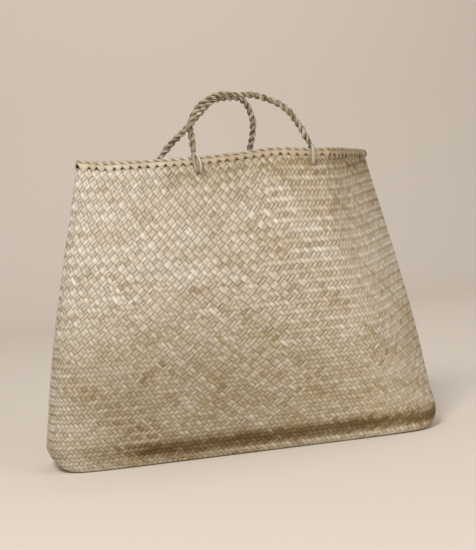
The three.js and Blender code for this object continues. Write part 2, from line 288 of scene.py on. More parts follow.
# %% Any place on the surface
def bag_surface(rounds, courses):
    """Points and outward normals at places given in strands round the bag and courses up it."""
    column = np.mod(rounds, STRANDS) * COLUMNS / STRANDS
    row = np.clip((courses - course_rows[0]) / COURSE_STEP, 0, last_row)
    c, r = np.floor(column).astype(int), np.floor(row).astype(int)
    s, t = (column - c)[..., None], (row - r)[..., None]
    c, d = c % COLUMNS, (c + 1) % COLUMNS
    blended = []
    for field in (grid, normals):
        low = field[r, c] * (1 - s) + field[r, d] * s
        high = field[r + 1, c] * (1 - s) + field[r + 1, d] * s
        blended.append(low * (1 - t) + high * t)
    return blended


# %% [markdown]
# ## From rows of points to a piece
# Every strand, tooth and rope yarn here is a grid of points: so many strands, so many steps along
# each, so many points across or round. One function joins such a grid into a mesh. Each point
# also keeps where it is on its own strand, across and along in metres, so that the grass's grain
# can follow the strand round every bend. "tone" picks its colour and "shade" its lightness, which
# also carries painted shade and painted light.

# %% Build a piece from a grid of points
def add_piece(name, points, grain, tone, shade, material, node, ring=False, loop=False, keep=None):
    """points: strands x steps x across x 3. ring closes each section, loop closes each strand."""
    count, steps, across = points.shape[:3]
    index = np.arange(count * steps * across).reshape(count, steps, across)
    if ring:
        index = np.concatenate([index, index[:, :, :1]], axis=2)
    if loop:
        index = np.concatenate([index, index[:, :1]], axis=1)
    quads = np.stack([index[:, :-1, :-1], index[:, :-1, 1:], index[:, 1:, 1:], index[:, 1:, :-1]], axis=-1)
    if keep is not None:
        quads = quads[keep]
    quads = quads.reshape(-1, 4)
    corners = quads.ravel()
    sizes = np.full(len(quads), 4)
    if ring and not loop:
        starts = index[:, 0, :-1][:, ::-1]
        ends = index[:, -1, :-1]
        corners = np.concatenate([corners, starts.ravel(), ends.ravel()])
        sizes = np.concatenate([sizes, np.full(2 * count, across)])
    mesh = bpy.data.meshes.new(name)
    mesh.vertices.add(count * steps * across)
    mesh.vertices.foreach_set("co", points.astype(np.float32).ravel())
    mesh.loops.add(len(corners))
    mesh.loops.foreach_set("vertex_index", corners.astype(np.int32))
    mesh.polygons.add(len(sizes))
    mesh.polygons.foreach_set("loop_start", (np.cumsum(sizes) - sizes).astype(np.int32))
    mesh.update(calc_edges=True)
    for label, values in [("tone", tone), ("shade", shade)]:
        layer = mesh.attributes.new(label, "FLOAT", "POINT")
        layer.data.foreach_set("value", np.broadcast_to(values, points.shape[:3]).astype(np.float32).ravel())
    layer = mesh.attributes.new("grain", "FLOAT_VECTOR", "POINT")
    layer.data.foreach_set("vector", np.broadcast_to(grain, points.shape).astype(np.float32).ravel())
    mesh.shade_smooth()
    mesh.materials.append(material)
    piece = bpy.data.objects.new(name, mesh)
    bpy.context.scene.collection.objects.link(piece)
    if keep is not None:
        drop_loose_points(mesh)
    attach(piece, "root")
    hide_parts(node)
    triangles = int((sizes - 2).sum())
    print(f"{name}: {triangles} triangles")
    return piece


# %% The grain of a piece, and points that it doesn't need
def grain_field(shape, across=0.0, along=0.0, which=0.0):
    """Where each point is on its own strand: across it and along it in metres, and which strand it is."""
    grain = np.zeros(shape)
    grain[..., 0] = across
    grain[..., 1] = along
    grain[..., 2] = which
    return grain


def drop_loose_points(mesh):
    """Removes the points that no face uses."""
    work = bmesh.new()
    work.from_mesh(mesh)
    bmesh.ops.delete(work, geom=[vert for vert in work.verts if not vert.link_faces], context="VERTS")
    work.to_mesh(mesh)
    work.free()


# %% [markdown]
# ## Dried seagrass
# Seagrass here is sedge, cut, split flat and dried in the sun. It dries to cream and straw, with some
# strands still olive and some gone tan. Its surface is a skin of fine lengthwise fibres with a
# dull waxy gloss. So its colour comes from a ramp of such colours picked strand by strand, fine
# streaks run along the grain, and a slight bump follows the same streaks. The edges are painted a
# touch darker, as painted shade, and all painted shade is tinted warm, like light bounced in straw.

# %% Colours and nodes
def linear(code):
    """A colour for a shader from its sRGB hex value."""
    parts = [int(code[k:k + 2], 16) / 255 for k in (1, 3, 5)]
    return tuple(p / 12.92 if p <= 0.04045 else ((p + 0.055) / 1.055) ** 2.4 for p in parts) + (1.0,)


def add_node(tree, kind, inputs=None, **settings):
    """Adds a node with its settings. An input is a value or another node's output."""
    made = tree.nodes.new(kind)
    for setting, value in settings.items():
        setattr(made, setting, value)
    for socket, value in (inputs or {}).items():
        if isinstance(value, bpy.types.NodeSocket):
            tree.links.new(value, made.inputs[socket])
        else:
            made.inputs[socket].default_value = value
    return made


# %% The seagrass finish
# The fibres of the real skin are finer than this. They are drawn coarser, so that they show.
FIBRE = 0.35 * MM
FIBRE_RUN = 14 * MM
FIBRE_RELIEF = 0.25 * MM
BLOTCH = 9 * MM
BLOTCH_TONE = 0.22
GLOSS_SPREAD = {"glossier": 0.1, "duller": 0.14}

# Steps in the noise from one strand to the next, so that no two have the same marks
BLOTCH_APART = 7.0
FIBRE_APART = 31.0

# Patches some centimetres wide that don't follow the strands, and others where the grass is tan
PATCH_SCALE = (1 / (60 * MM), 1 / (60 * MM), 1 / (24 * MM))
TAN_SCALE = (1 / (45 * MM), 1 / (45 * MM), 1 / (20 * MM))
TAN_OFFSET = (3.1, 7.7, 5.3)
TAN = "#e2c7a0"
# Painted shade is tinted warm, the darker the warmer, as light bounced between straw strands is warm.
SHADE_WARMTH = {"Green": 1.06, "Blue": 1.27}


def dried_seagrass(name, palette, roughness, bump, streak_range, patchy):
    """Split and sun-dried sedge: dull waxy skin, lengthwise fibres."""
    material = bpy.data.materials.new(name)
    material.use_nodes = True
    tree = material.node_tree
    tree.nodes.clear()
    tone = add_node(tree, "ShaderNodeAttribute", attribute_name="tone")
    shade = add_node(tree, "ShaderNodeAttribute", attribute_name="shade")
    grain = add_node(tree, "ShaderNodeAttribute", attribute_name="grain")

    blotch_place = add_node(tree, "ShaderNodeMapping", {
        "Vector": grain.outputs["Vector"], "Scale": (0.5 / STRAND_PITCH, 1 / BLOTCH, BLOTCH_APART)})
    blotches = add_node(tree, "ShaderNodeTexNoise", {
        "Vector": blotch_place.outputs["Vector"], "Scale": 1.0, "Detail": 2.0})
    moved_tone = add_node(tree, "ShaderNodeMath", {
        0: blotches.outputs["Fac"], 1: BLOTCH_TONE, 2: tone.outputs["Fac"]}, operation="MULTIPLY_ADD")
    place = add_node(tree, "ShaderNodeTexCoord")
    patch_place = add_node(tree, "ShaderNodeMapping", {
        "Vector": place.outputs["Object"], "Scale": PATCH_SCALE})
    patches = add_node(tree, "ShaderNodeTexNoise", {
        "Vector": patch_place.outputs["Vector"], "Scale": 1.0, "Detail": 3.0})
    patch_tone = add_node(tree, "ShaderNodeMapRange", {
        "Value": patches.outputs["Fac"], "From Min": 0.3, "From Max": 0.7,
        "To Min": -patchy, "To Max": patchy})
    all_tone = add_node(tree, "ShaderNodeMath", {
        0: moved_tone.outputs[0], 1: patch_tone.outputs[0]}, operation="ADD")
    ramp = add_node(tree, "ShaderNodeValToRGB", {"Fac": all_tone.outputs[0]})
    stops = ramp.color_ramp.elements
    while len(stops) < len(palette):
        stops.new(0.5)
    for stop, (position, code) in zip(stops, palette):
        stop.position = position
        stop.color = linear(code)

    tan_place = add_node(tree, "ShaderNodeMapping", {
        "Vector": place.outputs["Object"], "Location": TAN_OFFSET, "Scale": TAN_SCALE})
    tan_noise = add_node(tree, "ShaderNodeTexNoise", {
        "Vector": tan_place.outputs["Vector"], "Scale": 1.0, "Detail": 3.0})
    tan_share = add_node(tree, "ShaderNodeMapRange", {
        "Value": tan_noise.outputs["Fac"], "From Min": 0.52, "From Max": 0.74, "To Max": 4 * patchy})
    tanned = add_node(tree, "ShaderNodeMix", {
        0: tan_share.outputs[0], 6: ramp.outputs["Color"], 7: linear(TAN)},
        data_type="RGBA", blend_type="MULTIPLY")

    fibre_place = add_node(tree, "ShaderNodeMapping", {
        "Vector": grain.outputs["Vector"], "Scale": (1 / FIBRE, 1 / FIBRE_RUN, FIBRE_APART)})
    fibres = add_node(tree, "ShaderNodeTexNoise", {
        "Vector": fibre_place.outputs["Vector"], "Scale": 1.0, "Detail": 3.0, "Roughness": 0.6})
    streaks = add_node(tree, "ShaderNodeMapRange", {
        "Value": fibres.outputs["Fac"], "From Min": 0.25, "From Max": 0.75,
        "To Min": streak_range[0], "To Max": streak_range[1]})
    lightness = add_node(tree, "ShaderNodeMath", {
        0: streaks.outputs[0], 1: shade.outputs["Fac"]}, operation="MULTIPLY")
    # The painted shade from the shade attribute, tinted warm
    warm_shade = add_node(tree, "ShaderNodeCombineColor", {"Red": lightness.outputs[0]})
    for channel, power in SHADE_WARMTH.items():
        falling_off = add_node(tree, "ShaderNodeMath", {0: lightness.outputs[0], 1: power}, operation="POWER")
        tree.links.new(falling_off.outputs[0], warm_shade.inputs[channel])
    colour = add_node(tree, "ShaderNodeMix", {
        0: 1.0, 6: tanned.outputs[2], 7: warm_shade.outputs[0]}, data_type="RGBA", blend_type="MULTIPLY")

    gloss = add_node(tree, "ShaderNodeMapRange", {
        "Value": fibres.outputs["Fac"],
        "To Min": roughness - GLOSS_SPREAD["glossier"], "To Max": roughness + GLOSS_SPREAD["duller"]})
    relief = add_node(tree, "ShaderNodeBump", {
        "Height": fibres.outputs["Fac"], "Strength": bump, "Distance": FIBRE_RELIEF})
    skin = add_node(tree, "ShaderNodeBsdfPrincipled", {
        "Base Color": colour.outputs[2], "Roughness": gloss.outputs[0], "Normal": relief.outputs["Normal"],
        "IOR": 1.45, "Specular IOR Level": 0.3})
    add_node(tree, "ShaderNodeOutputMaterial", {"Surface": skin.outputs["BSDF"]})
    return material


# %% Three finishes of the same grass
plait_grass = dried_seagrass("seagrass_plaited", [
    (0.0, "#745b3a"), (0.14, "#98815c"), (0.3, "#b6a485"), (0.46, "#c9bda6"),
    (0.6, "#d5cbbb"), (0.76, "#e1dacf"), (1.0, "#ece7e0")], 0.56, 0.35, (0.82, 1.14), 0.08)
rim_grass = dried_seagrass("seagrass_braided", [
    (0.0, "#b59c78"), (0.3, "#d3c2a6"), (0.6, "#e1d4bf"), (1.0, "#ece3d5")], 0.52, 0.4, (0.82, 1.12), 0.07)
rope_grass = dried_seagrass("seagrass_twisted", [
    (0.0, "#665b48"), (0.25, "#877b64"), (0.5, "#a69a82"), (0.75, "#c1b8a4"), (1.0, "#dbd4c6")],
    0.55, 0.6, (0.66, 1.24), 0.08)
print("materials:", [material.name for material in bpy.data.materials])

# %% [markdown]
# ## The plait
# Each strand goes over two and under two of the others, a twill. Where the turns of all strands fall
# on one level, they make rows, as on the right side and low down. Where they are stepped in pairs,
# they make small checks, as on the upper left. The maker changed from one to the other freely, so
# the two are mixed in uneven patches between. One table of over and under serves both sets, so
# that a strand which is over always meets one that is under.

# %% Which strand is over at each crossing
FIRST_CROSSING = -2 * TUCK_COURSES
LAST_CROSSING = int(2 * COURSES)
crossings = np.arange(FIRST_CROSSING, LAST_CROSSING + 1)
strands = np.arange(STRANDS)


def smooth_patches(across, upwards, cells, rows):
    """Random values from 0 to 1 that change smoothly over a field; across wraps round the bag."""
    values = random.random((rows + 2, cells))
    c, r = np.floor(across * cells).astype(int), np.floor(upwards * rows).astype(int)
    s, t = across * cells - c, upwards * rows - r
    s, t = s * s * (3 - 2 * s), t * t * (3 - 2 * t)
    low = values[r, c % cells] * (1 - s) + values[r, (c + 1) % cells] * s
    high = values[r + 1, c % cells] * (1 - s) + values[r + 1, (c + 1) % cells] * s
    return low * (1 - t) + high * t


# %% Where rows take over from checks
# Each change starts at the first place and is whole at the second. Changes to the left and
# downwards have their places with the sign turned.
ROWS_AT_RIGHT = (5 * MM, 90 * MM)
ROWS_AT_FOOT = (-70 * MM, -30 * MM)
ROWS_LOW_AT_LEFT = {"down": (-150 * MM, -110 * MM), "left": (60 * MM, 130 * MM)}
ROWS_BELOW_MIDDLE = {"down": (-260 * MM, -200 * MM), "share": 0.35}
ROWS_SHARE = {"least": 0.08, "more": 0.9}
PATCHES_ROUND = 110
PATCHES_UP = 34

crossing_round = strands[:, None] + crossings[None, :] / 2
crossing_course = np.broadcast_to(crossings / 2, crossing_round.shape)
crossing_place = bag_surface(crossing_round, crossing_course)[0]
x, z = crossing_place[..., 0], crossing_place[..., 2]
rows_likely = np.maximum.reduce([
    step_up(x, *ROWS_AT_RIGHT),
    step_up(-z, *ROWS_AT_FOOT),
    step_up(-z, *ROWS_LOW_AT_LEFT["down"]) * step_up(-x, *ROWS_LOW_AT_LEFT["left"]),
    ROWS_BELOW_MIDDLE["share"] * step_up(-z, *ROWS_BELOW_MIDDLE["down"]),
])
patch_up = (crossings - FIRST_CROSSING) / (LAST_CROSSING - FIRST_CROSSING + 1)
patches = smooth_patches(np.mod(crossing_round / STRANDS, 1), np.broadcast_to(patch_up, crossing_round.shape),
                         PATCHES_ROUND, PATCHES_UP)
in_rows = patches < ROWS_SHARE["least"] + ROWS_SHARE["more"] * rows_likely
strand_met = strands[:, None] + crossings[None, :]
rows_over = np.broadcast_to(np.mod(crossings, 4) < 2, in_rows.shape)
checks_over = np.mod(strand_met - 2 * (strands[:, None] // 2), 4) < 2
rising_over = np.where(in_rows, rows_over, checks_over)
met_by_falling = np.mod(strands[:, None] - crossings[None, :], STRANDS)
falling_over = ~rising_over[met_by_falling, np.arange(len(crossings))[None, :]]
print("crossings:", rising_over.size, "in rows:", round(float(in_rows.mean()), 2))

# %% [markdown]
# ## The strands
# A strand rises where it is over and sinks where it is under, by less than its own thickness each
# way, and it bends most between two crossings. Its section is a low arch, because the split grass
# curls in at its edges as it dries. Strands are split by hand, so each has its own width and it
# wanders a little.

# %% Strands that are wider than their neighbours
# PAIR's shade paints the covered strand of each pair darker than the wide one: a painted shade.
PAIR = {"width": 0.13, "lift": 0.16 * MM, "shade": 0.05}
PAIRED = {"up": (120 * MM, 230 * MM), "right": (30 * MM, 130 * MM), "fades": 0.85}
# LEAN's shade paints the wider set lighter and the other darker: a painted sheen along the fibres.
LEAN = {"width": 0.11, "lift": 0.1 * MM, "shade": 0.07}
FALLING_WIDER = {"everywhere": 0.25, "right": (-60 * MM, 60 * MM), "up": (90 * MM, 220 * MM)}
FALLING_FADES = {"right": (110 * MM, 150 * MM), "by": 0.7}
RISING_WIDER = {"size": 0.5, "left": (60 * MM, 160 * MM), "down": (-180 * MM, -90 * MM)}


def pairing(places):
    """How far one strand of each pair is the wider and covers the other's edge: 1 high up on the left."""
    x, z = places[..., 0], places[..., 2]
    return step_up(z, *PAIRED["up"]) * (1 - PAIRED["fades"] * step_up(x, *PAIRED["right"]))


def leaning(places, turn):
    """How far this set is the wider of the two and is painted lighter, a painted sheen: the falling set is so
    at the upper right.
    """
    x, z = places[..., 0], places[..., 2]
    least = FALLING_WIDER["everywhere"]
    falling = step_up(x, *FALLING_WIDER["right"]) * step_up(z, *FALLING_WIDER["up"])
    falling = falling * (1 - FALLING_FADES["by"] * step_up(x, *FALLING_FADES["right"]))
    falling = least + (1 - least) * falling
    rising = RISING_WIDER["size"] * step_up(-x, *RISING_WIDER["left"]) * step_up(-z, *RISING_WIDER["down"])
    return turn * (rising - falling)


# %% Heights and small changes along a strand
# A crossing stands higher with more neighbours on its own side: none, one or two
CROSSING_HEIGHTS = [0.7, 0.85, 1.05]
HEIGHT_BETWEEN = 1.15


def strand_offsets(over):
    """Height off the wall's middle at each crossing and half way to the next, in shares of LIFT."""
    sign = np.where(over, 1.0, -1.0)
    same = sign[:, :-1] == sign[:, 1:]
    pad = np.ones((len(sign), 1), bool)
    partners = np.concatenate([pad, same], axis=1).astype(int) + np.concatenate([same, pad], axis=1)
    at_crossing = sign * np.choose(partners, CROSSING_HEIGHTS)
    between = np.where(same, HEIGHT_BETWEEN * sign[:, :-1], 0.0)
    offsets = np.empty((len(sign), 2 * sign.shape[1] - 1))
    offsets[:, 0::2] = at_crossing
    offsets[:, 1::2] = between
    return offsets


def drift(count, steps, knots, size):
    """Random values that change smoothly along each strand."""
    values = random.normal(0, size, (count, knots + 1))
    place = np.linspace(0, knots, steps)
    k = np.minimum(place.astype(int), knots - 1)
    s = place - k
    s = s * s * (3 - 2 * s)
    return values[:, k] * (1 - s) + values[:, k + 1] * s


def float_numbers(over):
    """Counts the stretches on top along each strand, so that each can have its own shade."""
    rising = np.concatenate([over[:, :1], over[:, 1:] & ~over[:, :-1]], axis=1)
    numbers = np.cumsum(rising, axis=1)
    return np.repeat(numbers, 2, axis=1)[:, 1:]


# %% Strands from the over and under table
LIFT = 0.9 * MM
ARCH = 0.54 * MM
ACROSS = np.array([-1, -0.62, 0.62, 1])
ARCH_AT = np.array([1.0, 0.12, 0.12, 1.0])
HALF_WIDTH = 0.485
WANDER = {"knots": 40, "size": 0.035}
UNEVEN = {"knots": 110, "size": 0.08}

# The bag's turned end, from its start to where it is whole, with how much flatter the weave is there
TURNED_END = (105 * MM, 165 * MM)
FLATTER = 0.45


def plait(over, turn, surface, strand_names, course_names, lift, run):
    """Points and grain of one set of strands, with what its colours need.

    turn is 1 for the rising set, -1 for the falling one. run is a strand's length in one course."""
    count, steps = len(over), 2 * over.shape[1] - 1
    offsets = strand_offsets(over)
    courses = np.linspace(course_names[0], course_names[-1], steps) / 2
    course = np.broadcast_to(courses, (count, steps))
    rounds = strand_names[:, None] + turn * course
    places = surface(rounds, course)[0]
    leading = np.where(strand_names % 2 == 0, 1, -1)[:, None] * pairing(places)
    lean = leaning(places, turn)
    wander = drift(count, steps, **WANDER)
    uneven = drift(count, steps, **UNEVEN)
    half = HALF_WIDTH * (1 + PAIR["width"] * leading + LEAN["width"] * lean + uneven)
    shift = wander[..., None] + half[..., None] * ACROSS
    points, out = surface(rounds[..., None] + shift / 2, course[..., None] - turn * shift / 2)
    flatter = 1 - FLATTER * step_up(places[..., 0], *TURNED_END)
    height = (offsets * flatter)[..., None] * (lift - ARCH * ARCH_AT)
    height = height + (PAIR["lift"] * leading + LEAN["lift"] * lean)[..., None]
    # Painted shade on the covered strand of a pair, and a painted sheen on the wider set
    level = 1 + PAIR["shade"] * leading + LEAN["shade"] * lean
    points = points + out * height[..., None]
    along = courses * run
    which = strand_names[:, None, None] + (0.5 if turn < 0 else 0.0)
    grain = grain_field(points.shape, half[..., None] * ACROSS * STRAND_PITCH, along[None, :, None], which)
    return points, grain, float_numbers(over), offsets, level


# %% Tone and shade of the strands
# Lower down the strands are painted darker and browner: partly painted shade, as the light falls off
# downwards, partly dirt.
LOW = {"down": (-250 * MM, -70 * MM), "right": (-250 * MM, -170 * MM), "at_left": 0.4}
# Towards the right the strands are painted lighter, a painted light, and made a little browner.
RIGHTWARD = (-60 * MM, 200 * MM)
UPPER_LEFT = (-20 * MM, 200 * MM)
# Just under the rim, from the middle rightwards, the strands are painted darker and browner: partly painted
# shade under the rim, partly dirt.
UNDER_RIM = {"up": (315 * MM, 355 * MM), "right": (-150 * MM, -40 * MM)}
UPPER_RIGHT = {"right": (50 * MM, 140 * MM), "up": (220 * MM, 310 * MM)}
STRAND_TONE = {"middle": 0.5, "spread": 0.05}
TONE_DRIFT = {"knots": 18, "size": 0.05}
SHADE_DRIFT = {"knots": 60, "size": 0.03}
STRETCH_SHADE = {"highest": 0.03, "spread": 0.1, "calmer_low": 0.35}
# Where a strand sinks under the others it is painted darker: painted shade in the hollows of the weave.
SUNK_SHADE = {"high": 0.46, "low": 0.58}
SUNK_TO_TOP = (-0.6, 1.0)
# Both edges of each strand are painted darker, the lower one most: painted shade of the light from above.
EDGE_SHADE = {"upper": 0.95, "lower": 0.6}
# A band above the foot is painted darker and browner: partly painted shade under the bulging wall, partly
# dirt.
FOOT_BAND = {"height": 18 * MM, "spread": 9 * MM, "right": (-190 * MM, -110 * MM), "at_left": 0.25}
BROWNER = {"rightward": 0.05, "low": 0.17, "under_rim": 0.16, "upper_right": 0.09, "foot": 0.38}
PALER = {"upper_left": 0.1}
DARKER = {"low": 0.18, "under_rim": 0.07, "upper_right": 0.03, "foot": 0.34}
LIGHTER = {"rightward": 0.08, "turned_end": 0.15}

# How much less the lower part's change counts towards the right
LESS_RIGHTWARD = {"tone": 0.4, "shade": 0.8}
ODD_STRETCHES = {"pale_above": 0.97, "paler": 0.1, "brown_below": 0.06, "browner": 0.08}


def strand_colours(points, floats, offsets, level, turn):
    """Tone: each strand its own colour, drifting along it. Shade: each stretch on top its own lightness, plus
    painted shade and light.
    """
    count, steps = floats.shape
    place = points[:, :, 1]
    x, z = place[..., 0], place[..., 2]
    low = LOW["at_left"] + (1 - LOW["at_left"]) * step_up(x, *LOW["right"])
    low = step_up(-z, *LOW["down"]) * low
    rightward = step_up(x, *RIGHTWARD)
    tone = STRAND_TONE["middle"] + random.normal(0, STRAND_TONE["spread"], (count, 1))
    tone = tone + drift(count, steps, **TONE_DRIFT)
    low_tone = low * (1 - LESS_RIGHTWARD["tone"] * rightward)
    upper_left = step_up(-x, *UPPER_LEFT) * (1 - low)
    tone = tone - BROWNER["rightward"] * rightward - BROWNER["low"] * low_tone
    tone = tone + PALER["upper_left"] * upper_left
    under_rim = step_up(z, *UNDER_RIM["up"]) * step_up(x, *UNDER_RIM["right"])
    upper_right = step_up(x, *UPPER_RIGHT["right"]) * step_up(z, *UPPER_RIGHT["up"])
    tone = tone - BROWNER["under_rim"] * under_rim - BROWNER["upper_right"] * upper_right
    odd = random.random((count, floats.max() + 1))
    jitter = STRETCH_SHADE["highest"] - np.abs(random.normal(0, STRETCH_SHADE["spread"], odd.shape))
    each = np.arange(count)[:, None]
    tone = tone + np.where(odd > ODD_STRETCHES["pale_above"], ODD_STRETCHES["paler"], 0)[each, floats]
    tone = tone - np.where(odd < ODD_STRETCHES["brown_below"], ODD_STRETCHES["browner"], 0)[each, floats]
    calmer = 1 - STRETCH_SHADE["calmer_low"] * low
    shade = 1 + jitter[each, floats] * calmer + drift(count, steps, **SHADE_DRIFT)
    # Painted shade where strands sink, weaker low down, towards the right and at the turned end
    sunk = SUNK_SHADE["high"] + (SUNK_SHADE["low"] - SUNK_SHADE["high"]) * np.maximum(low, rightward)
    sunk = sunk + LIGHTER["turned_end"] * step_up(x, *TURNED_END)
    shade = shade * (sunk + (1 - sunk) * step_up(offsets, *SUNK_TO_TOP)) * level
    # Painted shade lower down, and painted light towards the right
    low_shade = low * (1 - LESS_RIGHTWARD["shade"] * rightward)
    shade = shade * (1 + LIGHTER["rightward"] * rightward - DARKER["low"] * low_shade)
    # Painted shade under the rim, partly dirt; the upper right is a little darker
    shade = shade * (1 - DARKER["under_rim"] * under_rim) * (1 - DARKER["upper_right"] * upper_right)
    # The band above the foot: partly painted shade, partly dirt
    band = np.exp(-(((z - FOOT_BAND["height"]) / FOOT_BAND["spread"]) ** 2))
    least = FOOT_BAND["at_left"]
    band = band * (least + (1 - least) * step_up(x, *FOOT_BAND["right"]))
    shade = shade * (1 - DARKER["foot"] * band)
    tone = tone - BROWNER["foot"] * band
    # Painted shade on the strand's edges
    edge = np.array([EDGE_SHADE["upper"], 1.0, 1.0, EDGE_SHADE["lower"]])[::turn]
    return np.clip(tone, 0, 1)[..., None], shade[..., None] * edge


# %% [markdown]
# ## The wall
# Each set of strands is made in two pieces, to keep the meshes small. Where a handle's end goes
# through the wall, the strands are pushed apart a little, as the maker's awl does.

# %% Holes for the handle loops
FRONT_FEET = {"left": -44 * MM, "right": 100 * MM}
BACK_FEET = {"left": -77.5 * MM, "right": 43.5 * MM}
LOOP_DROP = 20 * MM
HOLE_PUSH = 1.7 * MM
HOLE_REACH = 4.5 * MM

# The front left loop leans: its hole lies this far to the right of its foot
HOLE_ASIDE = {("front", "left"): 4.5 * MM}


def wall_point(along_bag, height, side):
    """A point in the middle of the wall, on the front (-1) or the back (1)."""
    plan = middle_plan(height)
    place = along_bag / plan["length"]
    across = (1 - abs(place) ** plan["squareness"]) ** (1 / plan["squareness"])
    x, y = turned(along_bag, side * plan["front" if side < 0 else "back"] * across, plan)
    lift = (height / BAG_HEIGHT) ** 3 * float(rim_lift(place, side))
    return np.array([x, y, height + lift])


gap_round = strands[:, None] + crossings[None, :] / 2 + 0.5
gap_points = bag_surface(gap_round, crossing_course)[0].reshape(-1, 3)
holes = {}
for handle, feet, side in [("front", FRONT_FEET, -1), ("back", BACK_FEET, 1)]:
    for end, foot in feet.items():
        wanted = wall_point(foot + HOLE_ASIDE.get((handle, end), 0), BAG_HEIGHT - LOOP_DROP, side)
        nearest = gap_points[np.argmin(np.linalg.norm(gap_points - wanted, axis=1))]
        holes[handle, end] = nearest
        print(handle, end, "hole off the solid's by mm:", np.round((nearest - wanted) / MM, 1))


def part_at_holes(points):
    """Pushes the strands away from the holes."""
    for centre in holes.values():
        away = points - centre
        distance = np.linalg.norm(away, axis=-1, keepdims=True) + 1e-6
        points = points + away / distance * HOLE_PUSH * np.exp(-((distance / HOLE_REACH) ** 2))
    return points


# %% Make the wall
STRAND_A_COURSE = 6.4 * MM

for set_name, over, turn in [("rising", rising_over, 1), ("falling", falling_over, -1)]:
    points, grain, floats, offsets, level = plait(
        over, turn, bag_surface, strands, crossings, LIFT, STRAND_A_COURSE)
    tone, shade = strand_colours(points, floats, offsets, level, turn)
    points = part_at_holes(points)
    for part, share in [("odd", slice(0, None, 2)), ("even", slice(1, None, 2))]:
        add_piece(f"wall_strands_{set_name}_{part}", points[share], grain[share], tone[share], shade[share],
                  plait_grass, "woven_body")

# %% [markdown]
# ## The base
# The base is a flat plait inside the wall's edge. The wall's strands turn in under it by a
# centimetre, so the edge has no gap. The base lies on them, and only its cells inside the
# outline are kept.

# %% Make the base
BASE_PITCH = 5.2 * MM
BASE_LEVEL = 2.9 * MM
BASE_INSET = 5 * MM
BASE_LIFT = 0.7 * MM
base_cell = BASE_PITCH * math.sqrt(2)
base_plan = middle_plan(HALF_WALL)


def base_surface(rounds, courses):
    """The flat base; its outside faces down."""
    points = np.stack([rounds * base_cell + MOVE[0], courses * base_cell + MOVE[1],
                       np.full(rounds.shape, BASE_LEVEL)], axis=-1)
    out = np.broadcast_to([0.0, 0.0, -1.0], points.shape)
    return points, out


base_reach = math.ceil(base_plan["back"] / base_cell * 2) + 1
base_count = math.ceil(base_plan["length"] / base_cell) + base_reach
base_names = np.arange(-base_count, base_count + 1)
base_crossings = np.arange(-base_reach, base_reach + 1)
for set_name, turn in [("rising", 1), ("falling", -1)]:
    if turn == 1:
        met = base_names[:, None] + base_crossings[None, :]
        over = np.mod(met - 2 * (base_names[:, None] // 2), 4) < 2
    else:
        rising = base_names[:, None] - base_crossings[None, :]
        over = ~(np.mod(base_names[:, None] - 2 * (rising // 2), 4) < 2)
    points, grain, floats, offsets, level = plait(
        over, turn, base_surface, base_names, base_crossings, BASE_LIFT, base_cell)
    tone, shade = strand_colours(points, floats, offsets, level, turn)
    centre = (points[:, :-1, :-1] + points[:, 1:, 1:]) / 2
    power = base_plan["squareness"]
    reach = np.array([base_plan["length"], base_plan["front"]]) - BASE_INSET
    share = np.abs((centre[..., :2] - MOVE) / reach)
    keep = (share**power).sum(axis=-1) < 1
    add_piece(f"base_strands_{set_name}", points, grain, tone, shade, plait_grass,
              "woven_body", keep=keep)

# %% [markdown]
# ## The braided rim
# The wall's strands end in a braid that closes the mouth. From the front it shows a cord of flat,
# slanting strands on top and a row of tongues under it. Each tongue is a strand end that is folded
# down and tucked in, and between two tongues a small dark hole stays open. The inside is braided
# in the same way. Here it is three kinds of piece: a core painted almost black, a painted shadow
# that the holes look in on, the tongues on both faces, and two yarns laid round each other on top.

# %% Frames round the rim
RIM_LEVEL = BAG_HEIGHT - RIM_HEIGHT / 2
SLOPE_OVER = 8 * MM
TONGUES = 84
RIM_COLUMNS = TONGUES * 24


def rim_frames(count, phase=0.0):
    """Points on the wall's middle at the rim's level, with the ways along, out and up."""
    ring, along, side, _ = outline(middle_plan(RIM_LEVEL), RIM_COLUMNS)
    centre = np.column_stack([ring, RIM_LEVEL + rim_lift(along, side)])
    low = outline(middle_plan(RIM_LEVEL - SLOPE_OVER), RIM_COLUMNS)[0]
    rise = np.column_stack([ring - low, np.full(RIM_COLUMNS, SLOPE_OVER)])
    ahead = np.roll(centre, -1, axis=0) - np.roll(centre, 1, axis=0)
    place = np.mod((np.arange(count) + phase) * RIM_COLUMNS / count, RIM_COLUMNS)
    c = place.astype(int)
    s = (place - c)[:, None]
    frames = []
    for field in (centre, ahead, rise):
        values = field[c] * (1 - s) + field[(c + 1) % RIM_COLUMNS] * s
        if field is not centre:
            values = values / np.linalg.norm(values, axis=1, keepdims=True)
        frames.append(values)
    centre, ahead, rise = frames
    out = np.cross(ahead, rise)
    out /= np.linalg.norm(out, axis=1, keepdims=True)
    return centre, ahead, out, np.cross(out, ahead)


def swept_ring(along_frames, offset_out, offset_up):
    """Points at offsets out and up from every frame round the rim."""
    centre, _, out, rise = along_frames
    return centre[:, None] + out[:, None] * offset_out[..., None] + rise[:, None] * offset_up[..., None]


girth = float(outline(middle_plan(RIM_LEVEL), RIM_COLUMNS)[3])
print("girth of the mouth in mm:", round(girth / MM))

# %% The dark core
CORE = {"half_thickness": 2.0 * MM, "low": -4.9 * MM, "high": 1.5 * MM}
CORE_STEPS = 380
CORE_SIDES = 8
frames = rim_frames(CORE_STEPS)
turn = np.linspace(0, 2 * math.pi, CORE_SIDES, endpoint=False)
core_middle = (CORE["low"] + CORE["high"]) / 2
core_half_height = (CORE["high"] - CORE["low"]) / 2
core_out = np.broadcast_to(CORE["half_thickness"] * np.cos(turn), (CORE_STEPS, CORE_SIDES))
core_up = np.broadcast_to(core_middle + core_half_height * np.sin(turn), (CORE_STEPS, CORE_SIDES))
core_points = swept_ring(frames, core_out, core_up)[None]

